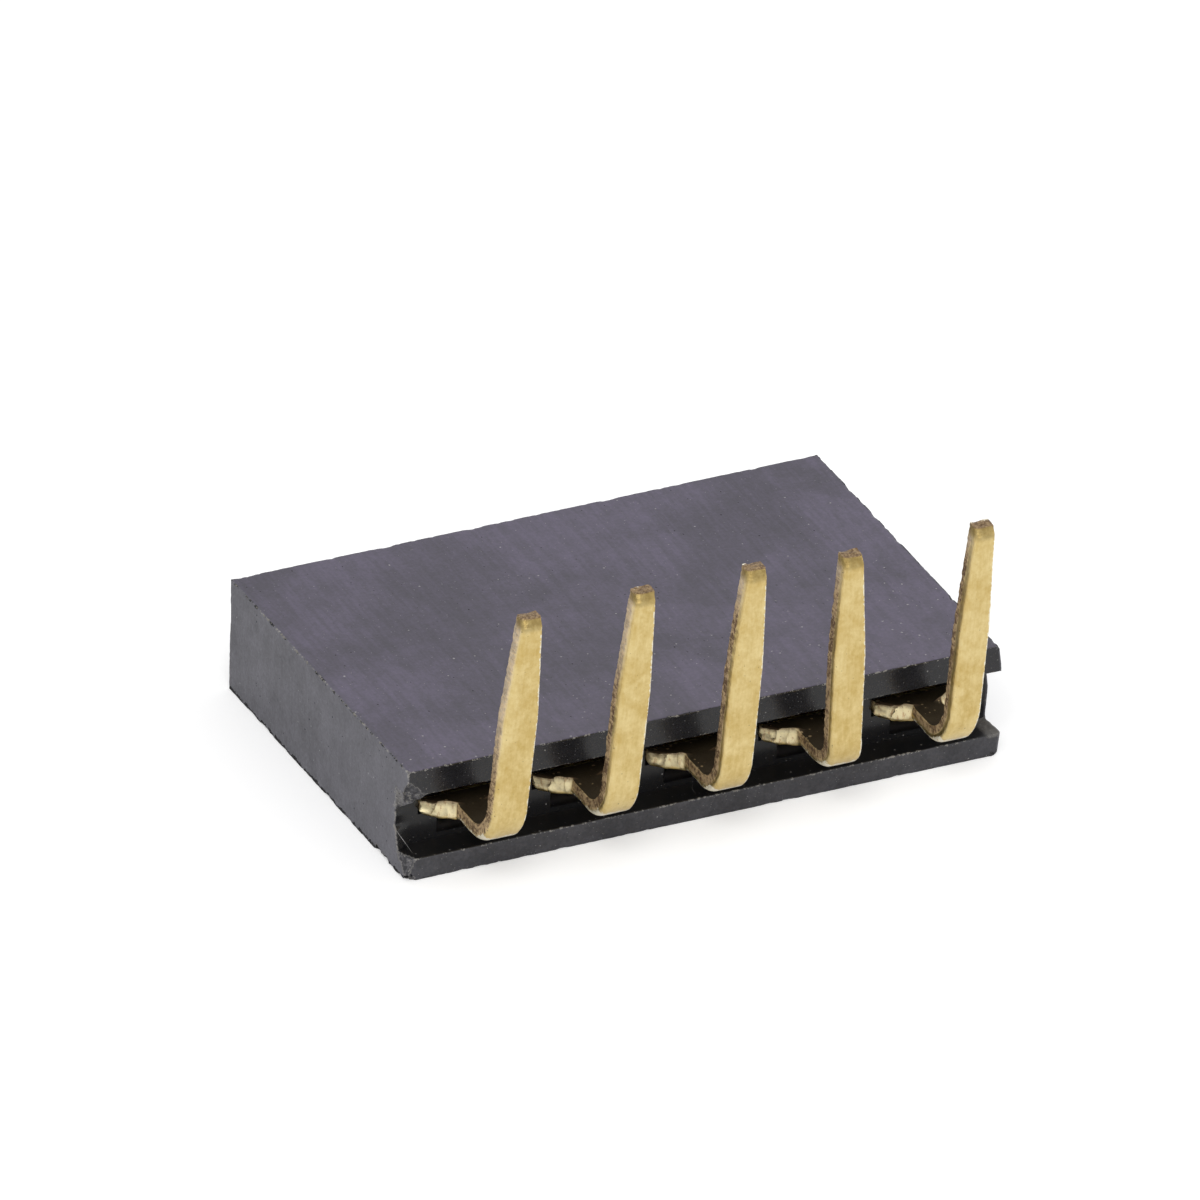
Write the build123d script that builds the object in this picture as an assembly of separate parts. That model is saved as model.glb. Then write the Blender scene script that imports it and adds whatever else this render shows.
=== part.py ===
from build123d import *
import math
import os

# Right-angle female header, lying as it is looked at: tails up, board side up.
# X runs along the row, Y from the tail side (-Y) to the mating side (+Y), Z up.
# The origin is the centre of the housing's lower face. All sizes are in millimetres.

# Row
PITCH = 2.54
POSITIONS = 5
END_MARGIN = 0.265            # housing beyond the last half pitch, at each end

# Housing block
DEPTH = 8.60
HEIGHT = 2.56
EDGE_RADIUS = 0.05            # moulded outer edges
END_CORNER_RADIUS = 0.12      # worn lower corner at the right-hand end

# Channel along the tail side
LOWER_LIP = 0.50
UPPER_LIP = 0.60
CHANNEL_DEPTH = 0.65

# Stubs that the parted end walls left in the channel's ends
END_STUB_WIDTH = 0.35         # along the channel's back wall
END_STUB_REACHES = (0.14, 0.20)   # along the left and the right end face

# Cavities behind the channel
CAVITY_WIDTH = 1.12
SILL = 0.12                   # cavity floor above the channel floor
FRONT_WALL = 0.90             # wall that carries the pin entries
SLOT_SIDE_CLEARANCE = 0.02
SLOT_FACE_CLEARANCE = 0.015

# Pin entries in the mating face
ENTRY_WIDTH = 0.88
LEAD_IN_WIDTH = 1.46
LEAD_IN_DEPTH = 0.40

# Contact sheet
SHEET = 0.36
CONTACT_HEIGHT = 1.32         # middle of the sheet above the housing's lower face
BODY_WIDTH = 1.94
BODY_LENGTH = 1.90            # from the channel's back wall to the root of the fork
BARB_HEIGHT = 0.015
BARB_LENGTH = 0.30
BARB_PITCH = 0.55

# Fork that grips the pin
TINE_TIP_GAP = 0.15           # tips to the front wall
TINE_TIP_SPAN = 1.50          # outer width at the tips
FORK_WINDOW = 0.84            # open width between the tines at their root
GRIP_WIDTH = 0.52             # free width at the grip, under the 0.64 square pin
GRIP_SETBACK = 0.85           # grip behind the tips
MOUTH_WIDTH = 0.86            # open width at the tips

# Shoulders outside the back wall, where the blank narrows to the tail
SHOULDER_REACH = 0.12         # outer corner beyond the back wall
SHOULDER_STEP = 0.22          # across the outer slope
SHOULDER_RISE = 0.20          # outer slope, along the tail
NECK_RISE = 0.21              # inner slope, along the tail

# Tail
TAIL_WIDTH = 0.70
TIP_WIDTH = 0.42
TAPER_LENGTH = 2.30
TAIL_GAP = 1.17               # housing's rear plane to the back of the tail
BEND_RADIUS = 0.57            # inside the bend
TIP_CHAMFER_HEIGHT = 0.20     # on the outer face alone
TIP_CHAMFER_DEPTH = 0.10

# How each tail was left: lean along the row, reach above the housing, offset along the row
TAIL_LEANS = [5.3, 5.2, 4.6, 1.0, 4.6]
TAIL_REACHES = [3.91, 3.95, 3.94, 3.76, 3.79]
TAIL_OFFSETS = [0.0, 0.0, 0.0, -0.07, 0.02]

# Broken corners at the left-hand end: along the end face, along the rear face
UPPER_CHIP = (0.62, 0.42)
LOWER_CHIP = (0.50, 0.20)

# Places worked out from the sizes above
LENGTH = POSITIONS * PITCH + 2 * END_MARGIN
LEFT_X = -LENGTH / 2
RIGHT_X = LENGTH / 2
REAR_Y = -DEPTH / 2
FRONT_Y = DEPTH / 2
WALL_Y = REAR_Y + CHANNEL_DEPTH
CHANNEL_FLOOR_Z = LOWER_LIP
CHANNEL_ROOF_Z = HEIGHT - UPPER_LIP
CAVITY_FLOOR_Z = CHANNEL_FLOOR_Z + SILL
CAVITY_FRONT_Y = FRONT_Y - FRONT_WALL
TINE_TIP_Y = CAVITY_FRONT_Y - TINE_TIP_GAP
FORK_ROOT_Y = WALL_Y + BODY_LENGTH
TAIL_BACK_Y = REAR_Y - TAIL_GAP
TAIL_FRONT_Y = TAIL_BACK_Y - SHEET
BEND_CENTRE_Y = TAIL_BACK_Y + BEND_RADIUS
SHEET_LOWER_Z = CONTACT_HEIGHT - SHEET / 2
SHEET_UPPER_Z = CONTACT_HEIGHT + SHEET / 2
BEND_CENTRE_Z = SHEET_UPPER_Z + BEND_RADIUS
SHOULDER_Y = WALL_Y - SHOULDER_REACH
NECK_Y = SHOULDER_Y - SHOULDER_RISE - NECK_RISE
OVERRUN = 1.0                 # how far a cutter runs past the face that it cuts


def position_x(index):
    """Place along the row of a position, counted from the left."""
    return (index - (POSITIONS - 1) / 2) * PITCH


def box_between(low, high):
    """Box from its lowest to its highest corner."""
    size = [b - a for a, b in zip(low, high)]
    return Pos(*low) * Box(*size, align=(Align.MIN, Align.MIN, Align.MIN))


def corner_chip(lip_face_z, outer_z, along_end, along_rear):
    """Piece broken out of the left-hand rear corner of a lip, down to nothing at its outer face."""
    outer = Vector(LEFT_X, REAR_Y, outer_z)
    on_end = Vector(LEFT_X, REAR_Y + along_end, lip_face_z)
    on_rear = Vector(LEFT_X + along_rear, REAR_Y, lip_face_z)
    corner = Vector(LEFT_X, REAR_Y, lip_face_z)
    normal = (on_end - outer).cross(on_rear - outer)
    if normal.dot(corner - outer) < 0:
        normal = -normal
    near_z, far_z = sorted((lip_face_z, outer_z))
    block = box_between(
        (LEFT_X - OVERRUN, REAR_Y - OVERRUN, near_z),
        (LEFT_X + along_rear, REAR_Y + along_end, far_z),
    )
    return split(block, bisect_by=Plane(origin=outer, z_dir=normal), keep=Keep.TOP)


def end_stub(end_x, inward, reach):
    """Wedge between the channel's back wall and one end face, left of a parted end wall."""
    outline = Polyline(
        (end_x, WALL_Y),
        (end_x, WALL_Y - reach),
        (end_x + inward * END_STUB_WIDTH, WALL_Y),
        close=True,
    )
    wedge = extrude(make_face(outline), CHANNEL_ROOF_Z - CHANNEL_FLOOR_Z, dir=(0, 0, 1))
    return Pos(0, 0, CHANNEL_FLOOR_Z) * wedge


def cavity(x):
    """Space for one contact: central cavity, side slots for the sheet, pin entry and lead-in."""
    half = CAVITY_WIDTH / 2
    centre = box_between(
        (x - half, WALL_Y - OVERRUN / 2, CAVITY_FLOOR_Z),
        (x + half, CAVITY_FRONT_Y, CHANNEL_ROOF_Z),
    )
    slot_half = BODY_WIDTH / 2 + SLOT_SIDE_CLEARANCE
    slots = box_between(
        (x - slot_half, WALL_Y - OVERRUN / 2, SHEET_LOWER_Z - SLOT_FACE_CLEARANCE),
        (x + slot_half, CAVITY_FRONT_Y, SHEET_UPPER_Z + SLOT_FACE_CLEARANCE),
    )
    entry = Pos(x, FRONT_Y - FRONT_WALL / 2, CONTACT_HEIGHT) * Box(ENTRY_WIDTH, 2 * FRONT_WALL, ENTRY_WIDTH)
    face_plane = Plane(origin=(x, FRONT_Y, CONTACT_HEIGHT), z_dir=(0, 1, 0))
    wide = face_plane * Rectangle(LEAD_IN_WIDTH, LEAD_IN_WIDTH)
    narrow = face_plane.offset(-LEAD_IN_DEPTH) * Rectangle(ENTRY_WIDTH, ENTRY_WIDTH)
    return centre + slots + entry + loft([narrow, wide])


def make_housing():
    """Moulded block with the channel, the end stubs, the cavities and its broken corners."""
    block = box_between((LEFT_X, REAR_Y, 0), (RIGHT_X, FRONT_Y, HEIGHT))
    lower_right = block.edges().filter_by(Axis.Y).group_by(Axis.X)[-1].sort_by(Axis.Z)[0]
    block = fillet(lower_right, END_CORNER_RADIUS)
    upper = block.faces().sort_by(Axis.Z)[-1].edges()
    block = fillet(upper, EDGE_RADIUS)
    block -= box_between(
        (LEFT_X - OVERRUN, REAR_Y - OVERRUN, CHANNEL_FLOOR_Z),
        (RIGHT_X + OVERRUN, WALL_Y, CHANNEL_ROOF_Z),
    )
    left_reach, right_reach = END_STUB_REACHES
    block += end_stub(LEFT_X, 1, left_reach)
    block += end_stub(RIGHT_X, -1, right_reach)
    for index in range(POSITIONS):
        block -= cavity(position_x(index))
    block -= corner_chip(CHANNEL_ROOF_Z, HEIGHT, *UPPER_CHIP)
    block -= corner_chip(CHANNEL_FLOOR_Z, 0, *LOWER_CHIP)
    return block


def blank_outline():
    """Half of the flat blank seen from above, right of its centre line."""
    half_body = BODY_WIDTH / 2 - BARB_HEIGHT
    points = [
        (0, BEND_CENTRE_Y),
        (TAIL_WIDTH / 2, BEND_CENTRE_Y),
        (TAIL_WIDTH / 2, NECK_Y),
        (BODY_WIDTH / 2 - SHOULDER_STEP, SHOULDER_Y - SHOULDER_RISE),
        (BODY_WIDTH / 2, SHOULDER_Y),
        (BODY_WIDTH / 2, WALL_Y),
    ]
    barb_y = WALL_Y + BARB_PITCH
    while barb_y + BARB_LENGTH < FORK_ROOT_Y:
        points += [(half_body, barb_y - BARB_LENGTH / 2), (BODY_WIDTH / 2, barb_y)]
        barb_y += BARB_PITCH
    points += [(half_body, FORK_ROOT_Y), (TINE_TIP_SPAN / 2, TINE_TIP_Y), (0, TINE_TIP_Y)]
    return make_face(Polyline(*points, close=True))


def fork_window():
    """Space between the tines, right of the centre line: round root, grip and flared mouth."""
    half = FORK_WINDOW / 2
    grip_y = TINE_TIP_Y - GRIP_SETBACK
    bulge_y = grip_y - GRIP_SETBACK
    root = Line((0, FORK_ROOT_Y), (0, TINE_TIP_Y))
    arc = ThreePointArc(
        (0, FORK_ROOT_Y),
        (half * math.sin(math.pi / 4), FORK_ROOT_Y + half * (1 - math.cos(math.pi / 4))),
        (half, FORK_ROOT_Y + half),
    )
    side = Line((half, FORK_ROOT_Y + half), (half, bulge_y))
    grip = ThreePointArc((half, bulge_y), (GRIP_WIDTH / 2, grip_y), (MOUTH_WIDTH / 2, TINE_TIP_Y))
    mouth = Line((MOUTH_WIDTH / 2, TINE_TIP_Y), (0, TINE_TIP_Y))
    return make_face([root, arc, side, grip, mouth])


def make_blank():
    """Flat part of the contact: fork, body with barbs, shoulders and neck."""
    half = blank_outline() - fork_window()
    right = Pos(0, 0, SHEET_LOWER_Z) * extrude(half, SHEET, dir=(0, 0, 1))
    return right + mirror(right, about=Plane.YZ)


def tail_side_profile(tip_z):
    """The tail seen along the row: neck, bend and upright blade with its chamfered tip."""
    outer_radius = BEND_RADIUS + SHEET
    chamfer_z = tip_z - TIP_CHAMFER_HEIGHT
    diagonal = math.sqrt(0.5)
    outer_arc = ThreePointArc(
        (BEND_CENTRE_Y, SHEET_LOWER_Z),
        (BEND_CENTRE_Y - outer_radius * diagonal, BEND_CENTRE_Z - outer_radius * diagonal),
        (TAIL_FRONT_Y, BEND_CENTRE_Z),
    )
    blade = Polyline(
        (TAIL_FRONT_Y, BEND_CENTRE_Z),
        (TAIL_FRONT_Y, chamfer_z),
        (TAIL_FRONT_Y + TIP_CHAMFER_DEPTH, tip_z),
        (TAIL_BACK_Y, tip_z),
        (TAIL_BACK_Y, BEND_CENTRE_Z),
    )
    inner_arc = ThreePointArc(
        (TAIL_BACK_Y, BEND_CENTRE_Z),
        (BEND_CENTRE_Y - BEND_RADIUS * diagonal, BEND_CENTRE_Z - BEND_RADIUS * diagonal),
        (BEND_CENTRE_Y, SHEET_UPPER_Z),
    )
    neck = Polyline(
        (BEND_CENTRE_Y, SHEET_UPPER_Z),
        (NECK_Y, SHEET_UPPER_Z),
        (NECK_Y, SHEET_LOWER_Z),
        (BEND_CENTRE_Y, SHEET_LOWER_Z),
    )
    return Plane.YZ * make_face([outer_arc, blade, inner_arc, neck])


def tail_front_outline(tip_z, lean, offset):
    """The tail seen from the rear: it leans from the bend up, and tapers to its tip."""
    slope = math.tan(math.radians(lean))
    taper_z = tip_z - TAPER_LENGTH

    def edge(z, width, side):
        return (offset + slope * (z - SHEET_UPPER_Z) + side * width / 2, z)

    return Polyline(
        (-TAIL_WIDTH / 2, SHEET_LOWER_Z),
        (TAIL_WIDTH / 2, SHEET_LOWER_Z),
        (TAIL_WIDTH / 2, SHEET_UPPER_Z),
        edge(BEND_CENTRE_Z, TAIL_WIDTH, 1),
        edge(taper_z, TAIL_WIDTH, 1),
        edge(tip_z, TIP_WIDTH, 1),
        edge(tip_z, TIP_WIDTH, -1),
        edge(taper_z, TAIL_WIDTH, -1),
        edge(BEND_CENTRE_Z, TAIL_WIDTH, -1),
        (-TAIL_WIDTH / 2, SHEET_UPPER_Z),
        close=True,
    )


def make_tail(tip_z, lean, offset):
    """Neck, bend and blade, as the solid that both views of the tail share."""
    side = extrude(tail_side_profile(tip_z), PITCH / 2, both=True)
    front_face = Plane.XZ * make_face(tail_front_outline(tip_z, lean, offset))
    front = extrude(front_face, DEPTH, both=True)
    return side & front


def make_contact(index):
    """One stamped and bent contact, seated in its cavity."""
    tail = make_tail(HEIGHT + TAIL_REACHES[index], TAIL_LEANS[index], TAIL_OFFSETS[index])
    return Pos(position_x(index), 0, 0) * (make_blank() + tail)


def main():
    os.makedirs("parts", exist_ok=True)
    export_step(make_housing(), "parts/housing.step")
    for index in range(POSITIONS):
        export_step(make_contact(index), f"parts/contact_{index + 1}.step")


main()
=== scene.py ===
"""Dresses a right-angle female header: a worn moulded housing, gilt stamped contacts and a pale studio."""
import math
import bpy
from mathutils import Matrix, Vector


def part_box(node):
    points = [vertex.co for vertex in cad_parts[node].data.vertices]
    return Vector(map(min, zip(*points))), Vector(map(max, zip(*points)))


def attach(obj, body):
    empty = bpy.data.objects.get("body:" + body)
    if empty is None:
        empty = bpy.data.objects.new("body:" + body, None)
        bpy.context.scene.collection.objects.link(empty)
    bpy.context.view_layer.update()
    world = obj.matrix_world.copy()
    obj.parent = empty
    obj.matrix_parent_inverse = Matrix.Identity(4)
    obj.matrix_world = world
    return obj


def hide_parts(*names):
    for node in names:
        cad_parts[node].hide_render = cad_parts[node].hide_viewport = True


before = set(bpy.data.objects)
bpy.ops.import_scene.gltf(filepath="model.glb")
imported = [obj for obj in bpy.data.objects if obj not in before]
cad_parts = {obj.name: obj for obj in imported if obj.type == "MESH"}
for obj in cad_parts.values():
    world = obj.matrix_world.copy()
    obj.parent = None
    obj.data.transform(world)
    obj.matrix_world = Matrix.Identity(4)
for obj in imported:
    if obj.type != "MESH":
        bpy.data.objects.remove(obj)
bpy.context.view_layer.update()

from types import SimpleNamespace

import bmesh
import bpy
import numpy as np
from bpy.props import FloatProperty, FloatVectorProperty, PointerProperty
from mathutils import Matrix, Vector, noise

bl_info = {
    "name": "Right-angle female header",
    "version": (1, 0, 0),
    "blender": (4, 5, 0),
    "location": "View3D > Sidebar > Header",
    "description": "Worn moulded housing, gilt stamped contacts and a pale studio round the packed header",
    "category": "Object",
}

MM = 0.001                       # one millimetre in scene units
PIXELS = 1200                    # side of the photograph's frame
POSITIONS = 5
HOUSING_LOW, HOUSING_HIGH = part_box("housing")
TIP_HEIGHTS = [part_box(f"contact_{number}")[1].z for number in range(1, POSITIONS + 1)]
X, Y, Z = 0, 1, 2

# In millimetres
NEAR = 0.01                      # how close to a plane a point counts as on it
FADE = 0.6                       # depth behind the channel's back wall over which a push on it fades out
BARED = 0.02                     # depth at which a break looks fully broken
MERGED = 0.0005                  # gap under which two points become one
BUMP_HEIGHT = 0.004              # height that scales the materials' finest relief


def length(name, description, default_mm):
    """A property that holds a size, given here in millimetres."""
    return FloatProperty(
        name=name, description=description, default=default_mm * MM, unit="LENGTH", precision=6
    )


def tone(name, description, default):
    """A property that holds a linear colour."""
    return FloatVectorProperty(
        name=name, description=description, default=default, subtype="COLOR", size=3, min=0.0, max=1.0
    )


def fraction(name, description, default):
    """A property between nothing and all."""
    return FloatProperty(
        name=name, description=description, default=default, min=0.0, max=1.0, subtype="FACTOR"
    )


def angle(name, description, default_degrees):
    """A property that holds an angle, given here in degrees."""
    return FloatProperty(
        name=name, description=description, default=math.radians(default_degrees), unit="ROTATION"
    )


def per_contact(name, description, values, unit="NONE"):
    """A property with a value for each contact, from the left: in millimetres, in degrees or a share."""
    convert = {"LENGTH": lambda size: size * MM, "ROTATION": math.radians, "NONE": float}[unit]
    return FloatVectorProperty(
        name=name, description=description, default=[convert(value) for value in values], size=POSITIONS,
        unit=unit, precision=6,
    )


class HousingSizes(bpy.types.PropertyGroup):
    """Sizes of the moulded block that its box doesn't give."""

    pitch: length("Pitch", "Distance from one position to the next", 2.54)
    lower_lip: length("Lower lip", "Height of the lip under the channel", 0.50)
    upper_lip: length("Upper lip", "Height of the lip over the channel", 0.60)
    channel_depth: length("Channel depth", "Depth of the channel along the tail side", 0.65)
    cavity_width: length("Cavity width", "Width of the space round one fork", 1.12)
    sill: length("Sill", "Cavity floor above the channel floor", 0.12)
    front_wall: length("Front wall", "Thickness of the wall with the pin entries", 0.90)
    slot_width: length("Slot width", "Width of the slots that hold the sheet", 1.98)
    slot_height: length("Slot height", "Height of the slots that hold the sheet", 0.39)
    entry_width: length("Entry width", "Side of a square pin entry", 0.88)
    lead_in_width: length("Lead-in width", "Side of a lead-in at the mating face", 1.46)
    lead_in_depth: length("Lead-in depth", "Depth of a lead-in", 0.40)
    edge_radius: length("Edge radius", "Rounding of an unworn edge", 0.026)
    edge_wear: length("Edge wear", "How much further the worn places are rounded", 0.060)
    corner_radius: length("Corner radius", "Worn lower corner at the right-hand end", 0.12)
    stub_width: length("Stub width", "Stubs of the parted end walls, along the back wall", 0.45)
    web_drop: length("Web drop", "How far the torn web hangs under the upper lip at the left-hand end", 0.56)
    web_width: length("Web width", "How far that web runs in from the end face", 0.42)
    web_top: length("Web top", "From the top face down to where that tear starts, on the end face", 0.26)
    low_break_along_end: length("Lower break, end", "Broken corner of the lower lip, on the end face", 0.50)
    low_break_along_rear: length("Lower break, rear", "Broken corner of that lip, on the rear face", 0.20)
    end_flare: length("End flare", "How far the lips' rear corners stand out at the right-hand end", 0.09)
    ridge: length("Ridge", "Stub of the parted end wall on the lower lip, right-hand end", 0.12)
    ridge_width: length("Ridge width", "How far that stub runs in from the end face", 0.22)
    hair_radius: length("Hair radius", "Thin slivers left by the tear", 0.007)


class ContactSizes(bpy.types.PropertyGroup):
    """Sizes of the stamped and bent contacts."""

    sheet: length("Sheet", "Thickness of the strip", 0.36)
    middle: length("Middle", "Middle of the sheet above the housing's lower face", 1.32)
    body_width: length("Body width", "Width over the barbs", 1.94)
    body_length: length("Body length", "From the channel's back wall to the fork's root", 1.90)
    barb_height: length("Barb height", "How far a barb stands out", 0.015)
    barb_length: length("Barb length", "Length of a barb's slope, twice", 0.30)
    barb_pitch: length("Barb pitch", "Distance from one barb to the next", 0.55)
    tip_gap: length("Tine gap", "From the tines' tips to the front wall", 0.15)
    tine_span: length("Tine span", "Width over the tines at their tips", 1.50)
    window: length("Fork window", "Open width between the tines at their root", 0.84)
    grip_width: length("Grip width", "Free width at the grip", 0.52)
    grip_setback: length("Grip setback", "Grip behind the tips", 0.85)
    mouth_width: length("Mouth width", "Open width at the tips", 0.86)
    shoulder_reach: length("Shoulder reach", "Shoulder's corner beyond the back wall", 0.12)
    shoulder_step: length("Shoulder step", "Across the outer slope", 0.22)
    shoulder_rise: length("Shoulder rise", "Outer slope, along the tail", 0.20)
    neck_rise: length("Neck rise", "Inner slope, along the tail", 0.21)
    tip_width: length("Tip width", "Width of the tail at its tip", 0.42)
    taper: length("Taper", "Length of the tail's taper", 2.30)
    tail_gap: length("Tail gap", "From the housing's rear plane to the back of the tail", 1.17)
    bend_radius: length("Bend radius", "Radius inside the bend", 0.57)
    chamfer_height: length("Chamfer height", "Height of the tip's slope, on the outer face", 0.20)
    chamfer_depth: length("Chamfer depth", "How far that slope goes in", 0.10)
    near_roll: length("Near roll", "Left-hand edges drawn over by the punch, on the outer face", 0.15)
    far_roll: length("Far roll", "Right-hand edges drawn over by the punch, on the outer face", 0.045)
    burr_height: length("Burr height", "Metal pushed up beside the inner slope of a shoulder", 0.13)
    burr_radius: length("Burr radius", "Edges on the inner face", 0.018)
    near_burr: fraction("Near burr", "Share of the burr height on the left-hand shoulders", 0.50)
    tail_widths: per_contact(
        "Tail widths", "Width of each neck and blade", (0.75, 0.70, 0.70, 0.70, 0.66), "LENGTH",
    )
    leans: per_contact(
        "Leans", "How far each tail leans along the row", (5.3, 5.2, 4.6, 1.0, 4.6), "ROTATION",
    )
    offsets: per_contact(
        "Offsets", "How far each tail is set along the row at the bend",
        (0.01, 0.0, 0.0, -0.06, 0.04), "LENGTH",
    )
    far_burrs: per_contact(
        "Far burrs", "Share of the burr height on each right-hand shoulder", (0.1, 0.1, 0.2, 0.1, 1.0),
    )
    cracks: per_contact(
        "Cracks", "Where each shoulder is cracked, from the end of its outer slope",
        (-0.05, -0.01, 0.0, -0.01, 0.04), "LENGTH",
    )
    pale_sides: per_contact(
        "Pale sides", "How far down from its tip each left-hand edge is pale",
        (3.4, 1.9, 0.7, 0.5, 0.3), "LENGTH",
    )
    shear_lines: per_contact(
        "Shear lines", "Share of the sheet that the gilt wraps on each left-hand edge",
        (0.34, 0.40, 0.44, 0.44, 0.56),
    )


class Finishes(bpy.types.PropertyGroup):
    """Colours of the surfaces."""

    plastic: tone("Plastic", "Moulded black plastic", (0.0055, 0.0055, 0.0062))
    pit: tone("Pit", "Small pits in the plastic", (0.002, 0.002, 0.003))
    # Painted shade: dark dashes laid along the edges that face away from the light.
    painted_edge_shade: tone("Worn line", "Dark dashes along the worn edges", (0.003, 0.003, 0.004))
    # Painted sheen: a pale purple reflection laid into the colour of the wide moulded faces.
    painted_sheen: tone("Bloom", "Faint haze on the wide moulded faces", (0.068, 0.055, 0.095))
    # The same tone is also used as painted light on the rear faces and in the cavities.
    cut: tone("Cut", "Plastic where the strip was parted", (0.102, 0.100, 0.116))
    broken: tone("Broken", "Pale stress marks in the broken plastic", (0.135, 0.130, 0.138))
    # Pale crumbs at the rims of the breaks, and also the painted highlight along the rounded edges that face
    # the light.
    crumbs_and_painted_highlight: tone("Crumbs", "Pale crumbs and bared plastic along the edges", (0.30, 0.285, 0.26))
    dust: tone("Dust", "Dust on the plastic", (0.50, 0.49, 0.48))
    gilt: tone("Gilt", "Gold flash on the strip", (0.61, 0.425, 0.130))
    pale_gilt: tone("Pale gilt", "Lighter places in the gilt", (0.90, 0.735, 0.370))
    cropped: tone("Cropped", "Bright torn metal of the shoulders", (0.90, 0.79, 0.49))
    # Also the painted highlight along the blades' edges and the painted reflection of the floor under the
    # bend.
    crazed_and_painted_highlight: tone("Crazed", "Whitish crazed plating along the bend and the edges", (0.88, 0.85, 0.72))
    sheared_rim: tone("Sheared rim", "Pale metal on the sheared edges near the tips", (0.80, 0.68, 0.50))
    # Painted shade on the sloped face over each tip.
    painted_tip_shade: tone("Pinched", "Olive gilt over the tips", (0.23, 0.165, 0.058))
    bare_brass: tone("Bare brass", "Sheared edges", (0.66, 0.48, 0.265))
    tarnish: tone("Tarnish", "Dark places on the sheared edges", (0.125, 0.075, 0.038))
    # Painted shade on the inner face of the neck and the bend, under the upper lip.
    shaded: tone("Shaded", "Dark film inside the bend", (0.022, 0.015, 0.010))
    dust_share: fraction("Dust share", "How many of the places for dust are taken", 0.85)


class Studio(bpy.types.PropertyGroup):
    """Floor, lamps and camera."""

    floor_tone: tone("Floor", "Pale floor", (0.74, 0.74, 0.74))
    floor_lift: fraction("Floor lift", "Light added to the floor where the camera sees it", 0.34)
    floor_size: length("Floor size", "Side of the floor", 900.0)
    fill: fraction("Fill", "Strength at which the white studio lights the part", 0.75)
    azimuth: angle("Azimuth", "Camera's turn round the part", 25.75)
    elevation: angle("Elevation", "Camera above the horizon", 29.7)
    roll: angle("Roll", "Camera's turn about its own axis", -1.38)
    distance: length("Distance", "Camera to the part's origin", 909.0)
    pixels_per_mm: FloatProperty(
        name="Scale", description="Pixels of the photograph's frame for a millimetre at the origin",
        default=49.08, subtype="PIXEL",
    )
    origin_pixel: FloatVectorProperty(
        name="Origin in the frame", description="Where the part's origin lies in the frame, right and down",
        default=(611.55, 721.8), size=2,
    )


def in_millimetres(group):
    """The sizes of a property group as plain numbers in millimetres, and its angles in radians."""
    sizes = SimpleNamespace()
    for prop in group.bl_rna.properties:
        if prop.identifier in ("rna_type", "name"):
            continue
        value = getattr(group, prop.identifier)
        if prop.unit == "LENGTH":
            value = np.array(value) / MM if getattr(prop, "is_array", False) else value / MM
        setattr(sizes, prop.identifier, value)
    return sizes


# Grids, wear and meshes

def grid_lines(stops, step):
    """Grid lines through all the stops, with gaps no wider than step, which may vary with the place."""
    stops = sorted({round(float(stop), 5) for stop in stops})
    lines = [stops[0]]
    for low, high in zip(stops, stops[1:]):
        wanted = step((low + high) / 2) if callable(step) else step
        count = max(1, math.ceil((high - low) / wanted - 1e-6))
        lines += [low + (high - low) * part / count for part in range(1, count + 1)]
    return np.array(lines)


def shell_of_cells(xs, ys, zs, filled):
    """Surface round the filled cells of a grid: the grid indices of its points, and its outward quads."""
    shape = (len(xs), len(ys), len(zs))
    padded = np.pad(filled, 1)
    quads = []
    for axis, (second, third) in enumerate(((Y, Z), (Z, X), (X, Y))):
        trim = [slice(1, -1)] * 3
        trim[axis] = slice(None, -1)
        before = padded[tuple(trim)]
        trim[axis] = slice(1, None)
        after = padded[tuple(trim)]
        over, up = np.eye(3, dtype=int)[second], np.eye(3, dtype=int)[third]
        for forward, border in ((True, before & ~after), (False, after & ~before)):
            corner = np.argwhere(border)
            loop = [corner, corner + over, corner + over + up, corner + up]
            if not forward:
                loop.reverse()
            quads.append(np.stack([np.ravel_multi_index(place.T, shape) for place in loop], 1))
    used, quads = np.unique(np.concatenate(quads), return_inverse=True)
    return np.unravel_index(used, shape), quads.reshape(-1, 4)


def rumple(points, per_mm, octaves=3, shift=0.0):
    """Fractal noise at each point, about -1 to 1."""
    return np.array([
        noise.fractal(Vector(point), 1.0, 2.0, octaves) for point in points * per_mm + shift
    ])


def ease(low, high, value):
    """Smooth step from 0 at low to 1 at high."""
    part = np.clip((value - low) / (high - low), 0, 1)
    return part * part * (3 - 2 * part)


def round_over(first, second, radius):
    """Distances from the two faces of an edge, moved on to an arc where both are under the radius."""
    near = (first < radius) & (second < radius) & (first > -1e-6) & (second > -1e-6)
    a, b = first - radius, second - radius
    reach = np.where(near, np.hypot(a, b), 1)
    grow = radius / np.maximum(reach, 1e-9)
    return np.where(near, radius + a * grow, first), np.where(near, radius + b * grow, second)


def make_piece(name, points, faces, marks, node, material):
    """A mesh piece of points in millimetres that stands for a node; marks are named values at its points."""
    mesh = bpy.data.meshes.new(name)
    mesh.from_pydata((points * MM).tolist(), [], faces)
    for mark, values in marks.items():
        vector = values.ndim == 2
        layer = mesh.attributes.new(mark, "FLOAT_VECTOR" if vector else "FLOAT", "POINT")
        layer.data.foreach_set("vector" if vector else "value", values.astype(np.float32).ravel())
    piece = bpy.data.objects.new(name, mesh)
    bpy.context.scene.collection.objects.link(piece)
    mesh.materials.append(material)
    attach(piece, "root")
    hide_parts(node)
    return piece


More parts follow.
